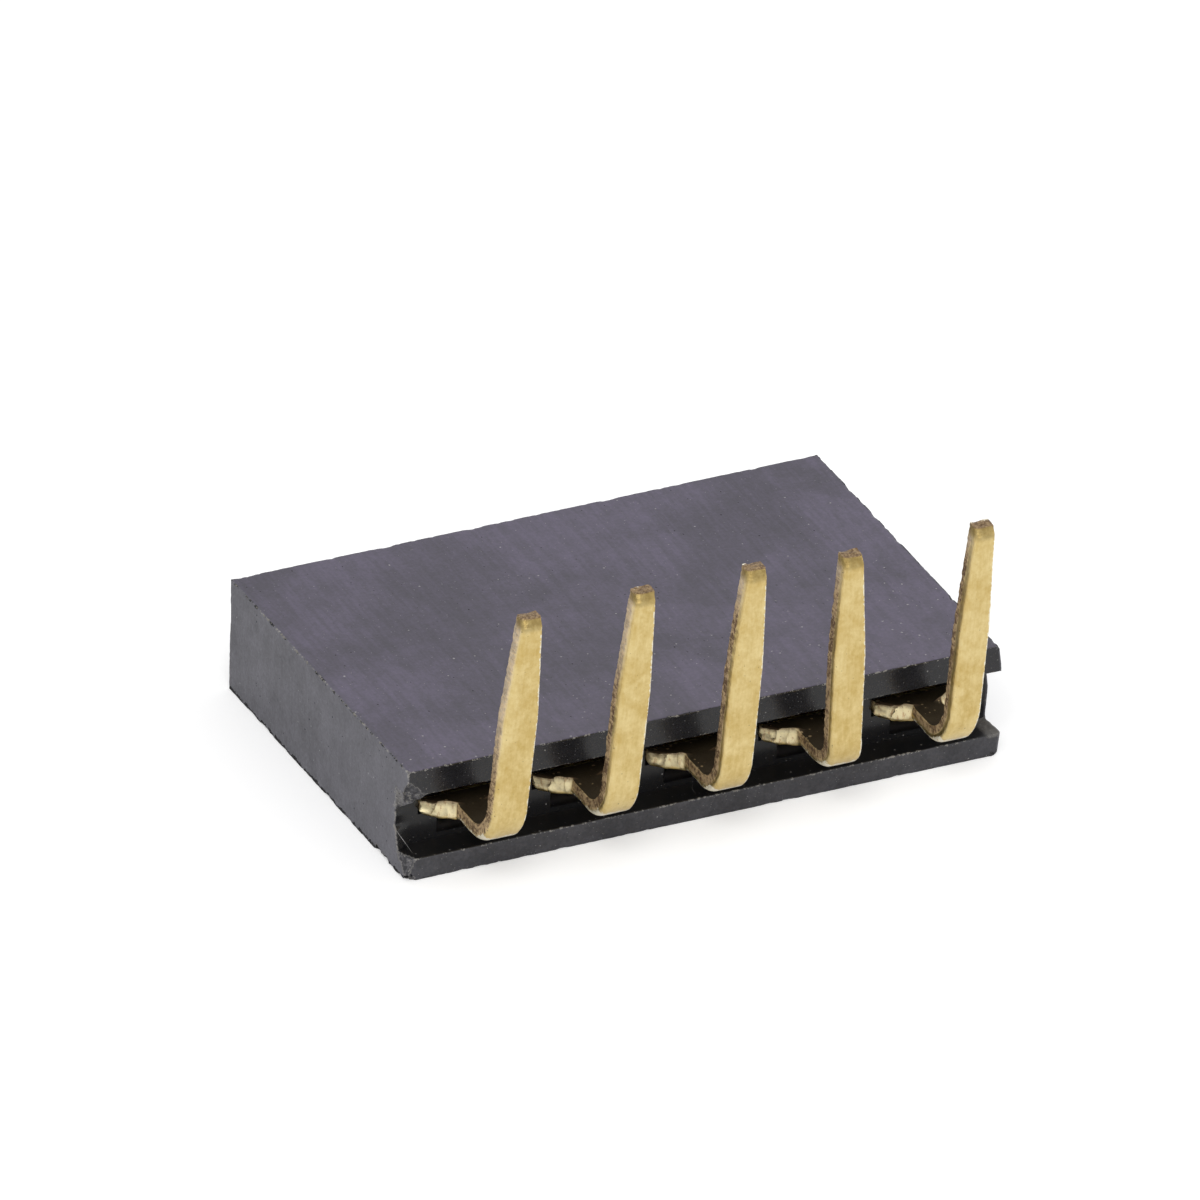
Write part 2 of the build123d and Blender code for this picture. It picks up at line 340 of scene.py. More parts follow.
def tidy_mesh(mesh, plain=None):
    """Merges points that fell together, joins the flat faces of a plain zone and sets smooth shading."""
    bm = bmesh.new()
    bm.from_mesh(mesh)
    bmesh.ops.remove_doubles(bm, verts=bm.verts, dist=MERGED * MM)
    if plain:
        inside = [vert for vert in bm.verts if plain(vert.co / MM)]
        chosen = set(inside)
        edges = [edge for edge in bm.edges if chosen.intersection(edge.verts)]
        bmesh.ops.dissolve_limit(bm, angle_limit=math.radians(1), verts=inside, edges=edges)
    bm.to_mesh(mesh)
    bm.free()
    mesh.shade_smooth()
    mesh.set_sharp_from_angle(angle=math.radians(50))


# Housing

def housing_places(sizes):
    """Planes of the housing, in millimetres, worked out from its box and its sizes."""
    places = in_millimetres(sizes)
    places.left, places.rear, _ = (value / MM for value in HOUSING_LOW)
    places.right, places.front, places.height = (value / MM for value in HOUSING_HIGH)
    places.wall = places.rear + places.channel_depth
    places.floor = places.lower_lip
    places.roof = places.height - places.upper_lip
    places.cavity_floor = places.floor + places.sill
    places.cavity_front = places.front - places.front_wall
    places.columns = [(number - (POSITIONS - 1) / 2) * places.pitch for number in range(POSITIONS)]
    return places


def filled_cells(h, middle, xs, ys, zs):
    """Which cells of the grid are plastic."""
    x, y, z = np.meshgrid(*[(line[1:] + line[:-1]) / 2 for line in (xs, ys, zs)], indexing="ij")
    aside = np.min([abs(x - column) for column in h.columns], axis=0)
    filled = np.ones(x.shape, bool)
    filled &= ~((y < h.wall) & (z > h.floor) & (z < h.roof))
    behind = (y > h.wall) & (y < h.cavity_front)
    filled &= ~(behind & (aside < h.cavity_width / 2) & (z > h.cavity_floor) & (z < h.roof))
    filled &= ~(behind & (aside < h.slot_width / 2) & (abs(z - middle) < h.slot_height / 2))
    filled &= ~((y > h.cavity_front) & (aside < h.entry_width / 2) & (abs(z - middle) < h.entry_width / 2))
    return filled


def sink_lead_ins(h, middle, points):
    """Slopes the mating face down to each pin entry."""
    aside = np.min([abs(points[:, X] - column) for column in h.columns], axis=0)
    ring = np.maximum(aside, abs(points[:, Z] - middle))
    slope = h.lead_in_depth / (h.lead_in_width - h.entry_width) * 2
    deepest = h.front - slope * (h.lead_in_width / 2 - ring)
    sunk = (ring < h.lead_in_width / 2) & (ring > h.entry_width / 2 - 1e-4) & (points[:, Y] > h.cavity_front)
    points[:, Y] = np.where(sunk, np.minimum(points[:, Y], deepest), points[:, Y])


def housing_edges(h):
    """The outward edges that wear: where each lies, how ragged it is, and how strong its painted shade and
    painted highlight are.
    """
    channel = (h.rear, h.wall)

    def edge(axis, corner, inward, ragged, dark, light, radius=h.edge_radius, span=(-1e9, 1e9), reach=0.05):
        return SimpleNamespace(
            axis=axis, corner=corner, inward=inward, ragged=ragged, dark=dark, light=light,
            radius=radius, span=span, reach=reach,
        )

    # dark and light give the strength of the painted shade and the painted highlight along each edge.
    edges = [
        edge(X, (h.rear, h.height), (1, -1), ragged=0.35, dark=0.25, light=0.42),
        edge(X, (h.rear, 0.0), (1, 1), ragged=0.45, dark=0.6, light=0.15),
        edge(X, (h.front, h.height), (-1, -1), ragged=1.1, dark=0.65, light=0.1),
        edge(X, (h.front, 0.0), (-1, 1), ragged=0.3, dark=0.3, light=0.1),
        edge(X, (h.rear, h.roof), (1, 1), ragged=0.35, dark=0.0, light=0.34),
        edge(X, (h.rear, h.floor), (1, -1), ragged=0.25, dark=0.0, light=0.34),
    ]
    crisp = 0.012
    ends = (
        (h.left, 1, 0.35, 0.02, 0.45),
        (h.right, -1, 1.1, h.corner_radius, 0.1),
    )
    for x, inward, ragged, low_radius, light in ends:
        edges += [
            edge(Y, (x, h.height), (inward, -1), ragged, dark=0.9 - light, light=light),
            edge(Y, (x, 0.0), (inward, 1), ragged=1.0, dark=0.9, light=0.1, radius=low_radius, reach=0.12),
            edge(Y, (x, h.roof), (inward, 1), 0.1, dark=0.15, light=light, radius=crisp, span=channel),
            edge(Y, (x, h.floor), (inward, -1), 0.1, dark=0.3, light=light, radius=crisp, span=channel),
            edge(Z, (x, h.rear), (inward, 1), ragged=0.2, dark=0.1, light=light, radius=crisp),
            edge(Z, (x, h.front), (inward, -1), ragged=0.6, dark=0.4, light=0.1),
            edge(
                Z, (x, h.wall), (inward, 1), ragged=0.0, dark=0.1, light=2 * light, radius=crisp,
                span=(h.floor, h.roof),
            ),
        ]
    return edges


def wear_edge(h, points, edge, marks):
    """Rounds one edge, more where it is worn, and marks its painted shade and painted highlight."""
    a, b = [other for other in (X, Y, Z) if other != edge.axis]
    first = (points[:, a] - edge.corner[0]) * edge.inward[0]
    second = (points[:, b] - edge.corner[1]) * edge.inward[1]
    widest = edge.radius + 1.2 * h.edge_wear
    margin = 1e-4
    near = (first > -margin) & (second > -margin) & (first < widest) & (second < widest)
    near &= (points[:, edge.axis] > edge.span[0] - margin) & (points[:, edge.axis] < edge.span[1] + margin)
    index = np.flatnonzero(near)
    along = np.zeros((len(index), 3))
    along[:, edge.axis] = points[index, edge.axis]
    along += np.array([edge.corner[0], edge.corner[1], edge.axis]) * 3.7
    bites = ease(0.05, 0.75, rumple(along, 2.6, 3)) + 0.45 * ease(0.1, 0.7, rumple(along, 9.0, 2, 5.3))
    radius = edge.radius * (1 + 0.3 * rumple(along, 5.0, 2, 9.1)) + edge.ragged * h.edge_wear * bites
    new_first, new_second = round_over(first[index], second[index], np.clip(radius, 0.008, widest))
    points[index, a] = edge.corner[0] + new_first * edge.inward[0]
    points[index, b] = edge.corner[1] + new_second * edge.inward[1]
    close = ease(edge.reach, 0.4 * edge.reach, np.maximum(first[index], second[index]))
    # Painted shade and painted highlight close to the edge.
    marks["dark_edge"][index] = np.maximum(marks["dark_edge"][index], edge.dark * close)
    marks["light_edge"][index] = np.maximum(marks["light_edge"][index], edge.light * close)


def hang_web(h, points):
    """Torn web of the parted end wall: it fills the corner under the upper lip at the left-hand end."""
    inward = np.clip((points[:, X] - h.left) / h.web_width, 0, 1)
    low = h.roof - h.web_drop * (1 - inward)
    y = points[:, Y]
    weight = np.where(y < h.wall + NEAR, 1.0, np.clip(1 - (y - h.wall) / FADE, 0, 1))
    squeezed = h.floor + (points[:, Z] - h.floor) * (low - h.floor) / (h.roof - h.floor)
    inside = (points[:, Z] > h.floor) & (points[:, Z] < h.roof + NEAR)
    points[:, Z] += np.where(inside, weight * (squeezed - points[:, Z]), 0)


def stand_stubs(h, points, break_mark):
    """Stubs that the parted end walls left: in the channel's ends and as a ridge on the lower lip."""
    # How far each stub reaches out at each height
    heights = (h.floor, h.floor + 0.08, 0.72, 0.92, 1.00, 1.26, 1.40, 1.70, h.roof)
    left_reach = (0.26, 0.21, 0.16, 0.10, 0.03, 0.08, 0.03, 0.03, 0.03)
    right_reach = (0.15, 0.14, 0.13, 0.16, 0.17, 0.20, 0.21, 0.14, 0.10)
    y = points[:, Y].copy()
    weight = np.where(y < h.wall, (y - h.rear) / h.channel_depth, np.clip(1 - (y - h.wall) / FADE, 0, 1))
    for x_end, inward, reach in ((h.left, 1, left_reach), (h.right, -1, right_reach)):
        gap = np.clip((points[:, X] - x_end) * inward / h.stub_width, 0, 1)
        points[:, Y] -= weight * np.interp(points[:, Z], heights, reach) * (1 - gap) ** 1.7
    gap = np.clip((h.right - points[:, X]) / h.ridge_width, 0, 1)
    on_lip = (points[:, Y] < h.wall + NEAR) & (abs(points[:, Z] - h.floor) < 0.05)
    share = ease(h.rear - 0.4, h.wall, points[:, Y])
    bumpy = 1 + 0.25 * rumple(points * (0, 1, 0), 5.0, 2)
    points[:, Z] += np.where(on_lip, h.ridge * share * (1 - gap) ** 1.5 * bumpy, 0)
    break_mark[:] = np.maximum(break_mark, np.where(on_lip, 0.35 * ease(1.0, 0.8, gap), 0))


def flare_end(h, points):
    """The lips' rear corners stand out at the right-hand end."""
    heights = (0.0, 0.2, h.floor, h.roof, 2.15, h.height)
    shares = (0.3, 0.6, 1.0, 1.0, 0.85, 0.25)
    share = ease(h.right - 0.4, h.right, points[:, X]) * ease(h.wall - 0.1, h.rear, points[:, Y])
    points[:, X] += h.end_flare * share * np.interp(points[:, Z], heights, shares)


def snap_off(points, origin, normal, roughness, break_mark, per_mm=5.0):
    """Breaks away what lies beyond a plane and leaves a rough face; normal points out of the solid."""
    normal = np.array(normal, float)
    normal /= np.linalg.norm(normal)
    beyond = (points - np.array(origin)) @ normal
    index = np.flatnonzero(beyond > -2 * roughness)
    level = roughness * rumple(points[index], per_mm, 4)
    depth = np.maximum(beyond[index] - level, 0)
    points[index] -= depth[:, None] * normal
    break_mark[index] = np.maximum(break_mark[index], ease(0.0, BARED, depth))


def gouge(points, centre, radii, inward, roughness, break_mark):
    """Chips out an ellipsoid: the points inside it move inward until they lie on its far side."""
    inward = np.array(inward, float)
    inward /= np.linalg.norm(inward)
    radii = np.array(radii, float)
    place = (points - np.array(centre)) / radii
    rim = 1 + roughness * rumple(points, 6.0, 3, 2.2)
    inside = np.flatnonzero((place ** 2).sum(1) < rim ** 2)
    start, step = place[inside], inward / radii
    a, b = step @ step, start @ step
    c = (start ** 2).sum(1) - rim[inside] ** 2
    travel = (-b + np.sqrt(np.maximum(b * b - a * c, 0))) / a
    points[inside] += travel[:, None] * inward
    break_mark[inside] = np.maximum(break_mark[inside], ease(0.0, BARED, travel))


def three_point_plane(a, b, c, outside):
    """Normal of the plane through three points, on the side of the point outside."""
    normal = np.cross(np.subtract(b, a), np.subtract(c, a))
    return normal if normal @ np.subtract(outside, a) > 0 else -normal


def snap_corner(points, chosen, plane_points, outside, roughness, break_mark):
    """Breaks the chosen points off along a plane through three points."""
    normal = three_point_plane(*plane_points, outside)
    part, mark = points[chosen], break_mark[chosen]
    snap_off(part, plane_points[0], normal, roughness, mark)
    points[chosen], break_mark[chosen] = part, mark


def break_left_end(h, points, break_mark, upper, lower):
    """The damage at the left-hand end: both lips' corners and the chips along its edges.

    The masks upper and lower choose the points over and under the channel that the breaks may reach.
    """
    low = h.roof - h.web_drop
    tear = (
        (h.left, h.rear + 0.05, h.height - h.web_top),
        (h.left, h.wall - 0.03, low),
        (h.left + h.web_width, h.rear, h.roof),
    )
    snap_corner(points, upper, tear, (h.left, h.rear, low), 0.045, break_mark)
    low_break = (
        (h.left, h.rear, 0.0),
        (h.left, h.rear + h.low_break_along_end, h.floor),
        (h.left + h.low_break_along_rear, h.rear, h.floor),
    )
    snap_corner(points, lower, low_break, (h.left, h.rear, h.floor), 0.03, break_mark)
    chips = [                    # centres and radii
        ((h.left - 0.02, -2.95, -0.02), (0.10, 0.20, 0.15)),
        ((h.left - 0.02, -3.25, -0.02), (0.09, 0.22, 0.12)),
        ((h.left - 0.03, -3.62, -0.03), (0.10, 0.16, 0.08)),
        ((h.left - 0.02, -4.02, -0.02), (0.12, 0.16, 0.07)),
        ((h.left + 0.05, h.rear - 0.02, 0.02), (0.18, 0.16, 0.14)),
        ((h.left - 0.01, h.rear - 0.01, h.height + 0.02), (0.10, 0.14, 0.06)),
    ]
    for centre, radii in chips:
        inward = (0.6, 0, 1 if centre[Z] < h.floor else -1)
        gouge(points, centre, radii, inward, 0.35, break_mark)


def chip_edges(h, points, marks):
    """Small chips along the rear's lower edge, and a nick in the top edge at the right-hand end, marked with
    painted shade.
    """
    rear_chips = (
        (-5.35, 0.16), (-4.95, 0.13), (-4.55, 0.20), (-3.1, 0.12), (-1.2, 0.10), (1.9, 0.13), (4.4, 0.10),
    )
    for x, reach in rear_chips:
        gouge(points, (x, h.rear - 0.02, -0.02), (reach, 0.07, 0.06), (0, 1, 1), 0.4, marks["broken"])
    nick = (h.right + 0.01, -2.13, h.height + 0.01)
    gouge(points, nick, (0.07, 0.11, 0.06), (-0.6, 0, -1), 0.3, marks["dark_edge"])


def smooth_course(course, rounds=2):
    """A course of points with its corners cut, round by round."""
    course = np.array(course)
    for _ in range(rounds):
        near, far = 0.75 * course[:-1] + 0.25 * course[1:], 0.25 * course[:-1] + 0.75 * course[1:]
        cut = np.stack([near, far], 1).reshape(-1, 3)
        course = np.concatenate([course[:1], cut, course[-1:]])
    return course


def add_hairs(h, points, faces, marks):
    """Adds thin slivers of plastic to the mesh: three-sided rods that thin towards their ends."""
    from_tear = (
        (h.left - 0.004, -3.79, 0.965), (h.left + 0.05, -3.90, 0.86), (h.left + 0.10, -4.02, 0.765),
        (h.left + 0.18, -4.06, 0.63), (h.left + 0.25, -4.08, h.floor),
    )
    on_lip = (
        (0.08, -3.71, h.floor), (-0.01, -3.85, h.floor + 0.01), (-0.05, -3.97, h.floor + 0.01),
        (-0.04, -4.10, h.floor),
    )
    hairs = [np.zeros(len(points))]
    for course, share in ((from_tear, 1.0), (on_lip, 0.6)):
        course = smooth_course(course)
        along = np.gradient(course, axis=0)
        along /= np.linalg.norm(along, axis=1)[:, None]
        across = np.cross(along, (0, 0, 1))
        up = np.cross(across, along)
        radius = h.hair_radius * share * np.sin(np.linspace(0.3, math.pi - 0.3, len(course)))[:, None]
        turns = (0, math.tau / 3, 2 * math.tau / 3)
        rings = [course + radius * (across * math.cos(turn) + up * math.sin(turn)) for turn in turns]
        first, count = len(points), 3 * len(course)
        points = np.concatenate([points, np.stack(rings, 1).reshape(-1, 3)])
        last = first + count - 3
        faces = faces + [[first, first + 2, first + 1], [last, last + 1, last + 2]]
        for start in range(first, last):
            over = start + 1 if (start - first) % 3 < 2 else start - 2
            faces.append([start, over, over + 3, start + 3])
        hairs.append(np.full(count, share))
    for name, values in marks.items():
        marks[name] = np.append(values, np.zeros(len(points) - len(values)))
    marks["hair"] = np.concatenate(hairs)
    return points, faces


def housing_grid(h, middle):
    """Grid lines of the block: through its planes, close together at its edges and fine at the worn end."""
    def beside(place, inward):
        return [place + inward * gap for gap in (0.0, 0.02, 0.045, 0.08, 0.125)]

    fine_x, fine_y = h.left + 0.8, h.rear + 1.8
    xs = beside(h.left, 1) + beside(h.right, -1) + [fine_x]
    for column in h.columns:
        for width in (h.entry_width, h.cavity_width, h.lead_in_width, h.slot_width):
            xs += [column - width / 2, column + width / 2]
    ys = beside(h.rear, 1) + beside(h.front, -1)
    ys += [h.wall, h.wall + 0.3, fine_y, h.cavity_front, h.front - h.lead_in_depth]
    zs = beside(0.0, 1) + beside(h.height, -1) + beside(h.floor, -1) + beside(h.roof, 1) + [h.cavity_floor]
    for height in (h.slot_height, h.entry_width, h.lead_in_width):
        zs += [middle - height / 2, middle + height / 2]
    return (
        grid_lines(xs, lambda x: 0.05 if x < fine_x else 0.07),
        grid_lines(ys, lambda y: 0.045 if y < fine_y else 0.07),
        grid_lines(zs, 0.06),
    )


def build_housing(housing, contact, material):
    """The worn housing: a gridded block with the CAD's planes, rounded, chipped and broken."""
    h = housing_places(housing)
    middle = contact.middle / MM
    xs, ys, zs = housing_grid(h, middle)
    (i, j, k), faces = shell_of_cells(xs, ys, zs, filled_cells(h, middle, xs, ys, zs))
    points = np.stack([xs[i], ys[j], zs[k]], 1)
    marks = {name: np.zeros(len(points)) for name in ("dark_edge", "light_edge", "broken")}
    marks["cut"] = ease(0.05, 0.0, points[:, X] - h.left) + ease(0.05, 0.0, h.right - points[:, X])
    near_left = points[:, X] < h.left + 1
    upper = near_left & (points[:, Z] > h.roof - NEAR) & (points[:, Y] < h.wall + 1)
    lower = near_left & (points[:, Z] < h.floor + NEAR)
    sink_lead_ins(h, middle, points)
    for edge in housing_edges(h):
        wear_edge(h, points, edge, marks)
    hang_web(h, points)
    stand_stubs(h, points, marks["broken"])
    break_left_end(h, points, marks["broken"], upper, lower)
    chip_edges(h, points, marks)
    flare_end(h, points)
    points, faces = add_hairs(h, points, faces.tolist(), marks)
    piece = make_piece("worn_housing", points, faces, marks, "housing", material)

    def plain(place):
        """Whether a point lies inside the block or in the middle of a plain face, where cells can merge."""
        away = h.left + 0.9 < place.x < h.right - 0.2 and h.wall + 0.5 < place.y
        return away and place.y < h.front - h.lead_in_depth - 0.05

    tidy_mesh(piece.data, plain)


# Contacts

# The blank's grid: columns at gaps from the edge in mm and then at shares of the rest,
# and levels at shares of the sheet
FROM_EDGE = (0.0, 0.012, 0.03, 0.055, 0.085, 0.125, 0.175)
INWARD = (0.25, 0.5, 0.75, 1.0)
LEVELS = (0.0, 0.03, 0.08, 0.15, 0.25, 0.36, 0.48, 0.60, 0.73, 0.86, 0.95, 1.0)


def contact_places(contact, housing, number):
    """Places of one contact, in millimetres."""
    h = housing_places(housing)
    c = in_millimetres(contact)
    c.x = h.columns[number]
    c.wall = h.wall
    c.low = c.middle - c.sheet / 2
    c.high = c.middle + c.sheet / 2
    c.tine_tip = h.cavity_front - c.tip_gap
    c.root = h.wall + c.body_length
    c.shoulder = h.wall - c.shoulder_reach
    c.neck = c.shoulder - c.shoulder_rise - c.neck_rise
    c.bend_y = h.rear - c.tail_gap + c.bend_radius
    c.bend_z = c.high + c.bend_radius
    c.tip = TIP_HEIGHTS[number] / MM
    c.tail_width = c.tail_widths[number]
    c.lean = c.leans[number]
    c.offset = c.offsets[number]
    c.far_burr = c.far_burrs[number]
    c.shear_line = c.shear_lines[number]
    c.pale_side = c.pale_sides[number]
    c.crack_shift = c.cracks[number]
    c.seed = number * 13.7
    c.arc = (c.bend_radius + c.sheet / 2) * math.pi / 2
    c.end = -c.bend_y + c.arc + c.tip - c.bend_z
    return c


def half_width(c, along):
    """Half the blank's width at each place along it, from the tines' tips to the tail's tip."""
    wide, sunk, slope = c.body_width / 2, c.body_width / 2 - c.barb_height, c.barb_length / 2
    barbs = []
    place = c.wall + c.barb_pitch
    while place + c.barb_length < c.root:
        barbs += [(-place - slope, sunk), (-place, wide), (-place + slope, sunk)]
        place += c.barb_pitch
    knots = [
        (-c.tine_tip, c.tine_span / 2),
        (-c.root, sunk),
        *sorted(barbs),
        (-c.wall, wide),
        (-c.shoulder, wide),
        (-c.shoulder + c.shoulder_rise, wide - c.shoulder_step),
        (-c.neck, c.tail_width / 2),
        (c.end - c.taper, c.tail_width / 2),
        (c.end, c.tip_width / 2),
    ]
    return np.interp(along, *zip(*knots))


def half_window(c, along, least):
    """Half the open width between the tines: round root, grip and flared mouth."""
    y = -along
    half = c.window / 2
    into = np.clip(y - c.root, 0, half)
    opening = np.sqrt(np.maximum(half ** 2 - (half - into) ** 2, 0))
    grip = c.tine_tip - c.grip_setback
    bulge = ease(c.grip_setback, 0.0, grip - y) * (half - c.grip_width / 2)
    flare = ease(0.0, c.grip_setback, y - grip) * (c.mouth_width - c.grip_width) / 2
    opening = np.where(y < grip, opening - bulge, c.grip_width / 2 + flare)
    return np.maximum(opening, least)


def lay_out_blank(c):
    """The flat blank as a grid: each point's place along it, level in the sheet, side and gap to the edge."""
    slope_end = -c.shoulder + c.shoulder_rise
    c.crack = slope_end + c.crack_shift
    stops = [-c.tine_tip, -c.root, -c.root - 0.4, -c.wall - 0.3, -c.wall, -c.shoulder, slope_end]
    stops += [-c.neck, -c.bend_y, -c.bend_y + c.arc, c.end - c.taper, c.end - c.chamfer_height, c.end]
    stops += [c.end - gap for gap in (0.012, 0.03, 0.055, 0.09)]
    stops += [-(c.wall + c.barb_pitch * halves / 2) for halves in range(1, 6)]

    def step(place):
        """Even along the tail, fine over the shoulders, coarse where the housing hides the blank."""
        if place > -c.neck:
            return 0.035
        if place > -c.wall - 0.05:
            return 0.018
        return 0.08 if place > -c.root - 0.4 else 0.16

    along = grid_lines(stops, step)
    levels = np.array(LEVELS) * c.sheet
    half_count = len(FROM_EDGE) + len(INWARD)
    columns = np.arange(2 * half_count)
    filled = np.ones((len(along) - 1, len(columns) - 1, len(levels) - 1), bool)
    in_fork = (along[1:] + along[:-1]) / 2 < -c.root
    filled[in_fork, half_count - 1, :] = False
    (i, j, k), faces = shell_of_cells(along, columns, levels, filled)

    b = SimpleNamespace(faces=faces.tolist(), place=along[i], level=levels[k], left=j < half_count)
    b.side = np.where(b.left, -1.0, 1.0)
    b.wide = half_width(c, b.place)
    least = 0.02
    inner = np.where(b.place < -c.root, half_window(c, b.place, least), least)
    rank = np.where(b.left, j, 2 * half_count - 1 - j)
    from_edge = np.append(FROM_EDGE, np.zeros(len(INWARD)))[rank]
    part = np.append(np.zeros(len(FROM_EDGE)), INWARD)[rank]
    last = b.wide - FROM_EDGE[-1]
    b.gap = np.where(rank < len(FROM_EDGE), from_edge, b.wide - last - part * (inner - last))
    b.flat = np.stack([(b.wide - b.gap) * b.side, b.place, b.level], 1)
    b.rough = rumple(b.flat * (0.35, 1, 0.8), 9.0, 3, c.seed)
    return b


def roll_edges(c, b):
    """Edges drawn over on the outer face, small burrs on the inner face, and scored, torn sides."""
    waver = 1 + 0.25 * rumple(b.flat * (1, 1, 0), 2.0, 2, c.seed + 3)
    b.gap, b.level = round_over(b.gap, b.level, np.where(b.left, c.near_roll, c.far_roll) * waver)
    burr = np.clip(c.burr_radius * (1 + b.rough), 0.006, 0.04)
    b.gap, from_top = round_over(b.gap, c.sheet - b.level, burr)
    b.level = c.sheet - from_top
    b.gap, from_end = round_over(b.gap, c.end - b.place, 0.03 * (1 + 0.6 * b.rough))
    b.place = c.end - from_end
    b.on_side = ease(0.03, 0.004, b.gap)
    share = b.level / c.sheet
    b.torn = b.on_side * ease(0.3, 0.65, share)
    line = np.where(b.left, c.shear_line, 0.2)
    b.sheared = b.on_side * ease(line - 0.05, line + 0.05, share + 0.05 * b.rough)
    scores = rumple(b.flat * (0.0, 1.0, 0.12), 14.0, 2, c.seed + 5)
    b.gap += b.on_side * 0.005 * scores + b.torn * 0.010 * b.rough


def tear_shoulders(c, b):
    """Torn shoulders: a ridged block, a crack, and a second block pushed up and out by the punch."""
    share = b.level / c.sheet
    b.shoulder = ease(-c.wall, -c.shoulder, b.place) * ease(-c.neck + 0.05, -c.neck - 0.02, b.place)
    ridges = rumple(b.flat * (0.2, 0.4, 1.0), 8.0, 2, c.seed + 6)
    fan = rumple(b.flat * (0.6, 1.0, 0.3), 9.0, 3, c.seed + 7)
    crack_place = c.crack + 0.10 * (share - 0.6) + 0.04 * ridges
    second = ease(crack_place - 0.01, crack_place + 0.04, b.place)
    second = second * ease(-c.neck + 0.11, -c.neck - 0.05, b.place)
    first = b.shoulder * (1 - second)
    crack = np.exp(-((b.place - crack_place) / 0.018) ** 2)
    b.gap -= b.on_side * (first * (0.01 + 0.06 * ridges) + second * (0.03 + 0.09 * fan))
    b.gap += b.on_side * b.shoulder * 0.07 * crack
    raised = second * ease(0.20, 0.02, b.gap) * np.where(b.left, c.near_burr, c.far_burr)
    b.level += c.burr_height * raised * ease(0.4, 1.0, share) * (1 + 0.7 * fan)
    b.level -= 0.05 * raised * ease(0.6, 0.1, share) * (1 + fan)
    b.level += 0.06 * first * b.on_side * ease(0.4, 1.0, share) * (ridges + 0.5 * fan)
    rim = ease(0.78, 0.95, share) * ease(0.02, 0.0, b.gap - 0.16)
    dents = 0.6 * first * b.on_side * ease(-0.1, -0.5, ridges)
    dents = dents + 0.5 * second * b.on_side * ease(-0.2, -0.6, fan)
    b.hollow = np.clip(b.shoulder * (0.9 * crack * b.on_side + 0.85 * rim) + 0.8 * dents, 0, 1)


def slope_tip(c, b):
    """The tip: a slope on the outer face, a rough top, and metal dragged up along its inner edge."""
    share = np.clip((b.place - c.end + c.chamfer_height) / c.chamfer_height, 0, 1)
    inner = ease(0.6, 1.0, b.level / c.sheet)
    b.level += c.chamfer_depth * share * (1 - b.level / c.sheet)
    # Zone over the tip's slope that gets the painted shade.
    b.painted_tip_shade = ease(c.end - 1.6 * c.chamfer_height, c.end - 0.6 * c.chamfer_height, b.place)
    b.top = ease(c.end - 0.03, c.end - 0.008, b.place)
    b.level += b.painted_tip_shade * 0.010 * b.rough
    b.dragged = b.top * inner * ease(0.0, 0.55, rumple(b.flat * (1, 0, 0), 4.5, 2, c.seed + 9))
    b.place += b.top * 0.022 * b.rough + 0.035 * b.dragged


def bend_up(c, b):
    """Bends the blank up and leans its tail; gives the points' places in the housing's frame."""
    b.level += 0.004 * rumple(b.flat * (1, 1, 0), 1.6, 2, c.seed + 8)
    b.turn = np.clip((b.place + c.bend_y) / c.arc, 0, 1) * math.pi / 2
    beyond = np.maximum(b.place + c.bend_y - c.arc, 0)
    radius = c.bend_radius + c.sheet - b.level
    bent = b.place > -c.bend_y
    y = np.where(bent, c.bend_y - radius * np.sin(b.turn), -b.place)
    z = np.where(bent, c.bend_z - radius * np.cos(b.turn) + beyond, c.low + b.level)
    rise = np.clip(z - c.high, 0, None)
    x = c.x + (b.wide - b.gap) * b.side + rise * math.tan(c.lean)
    return np.stack([x + np.clip(rise / c.bend_radius, 0, 1) * c.offset, y, z], 1)


def contact_marks(c, b):
    """What the gilt material needs to know at each point of a contact."""
    share = b.level / c.sheet
    degrees = np.degrees(b.turn)
    on_tail = b.place > -c.bend_y
    from_tip = c.end - b.place
    # Painted reflection of the pale floor under the bend, and painted highlights along the right-hand edges
    # of the blades and the left-hand edges of the necks.
    under_bend = ease(0.5, 0.15, share) * ease(8, 30, degrees) * ease(50, 38, degrees)
    far_rim = ~b.left * on_tail * ease(0.055, 0.02, b.gap) * ease(0.34, 0.14, share)
    far_rim = far_rim * ease(0.1, 0.5, from_tip) * (0.85 + 0.15 * ease(0.7, 2.8, from_tip))
    neck_rim = b.left * ease(0.5, 0.2, share) * ease(0.09, 0.03, b.gap)
    neck_rim = neck_rim * ease(-c.neck, -c.neck + 0.1, b.place) * ease(55, 25, degrees)
    pale = b.left * on_tail * b.on_side * ease(c.pale_side + 0.5, 0.6 * c.pale_side, from_tip)
    # Inner face of the neck and the bend, where the painted shade goes.
    inside = ease(0.9, 1.0, share) * (1 - b.on_side) * (b.place > -c.wall)
    return {
        "flat": b.flat,
        "sheared": b.sheared * (1 - b.shoulder),
        "torn": b.torn * b.sheared,
        "painted_tip_shade": b.painted_tip_shade * ease(1.0, 0.8, share),
        "top": b.top,
        "cropped": b.on_side * b.shoulder,
        "hollow": b.hollow,
        "pale": pale * ease(0.06, 0.25, from_tip),
        "crazed_and_painted_highlight": np.clip(under_bend + 0.8 * far_rim + 0.7 * neck_rim + 0.9 * b.dragged, 0, 1),
        "inner": inside * ease(-c.bend_y + c.arc + 0.5, -c.bend_y + c.arc - 0.2, b.place),
    }


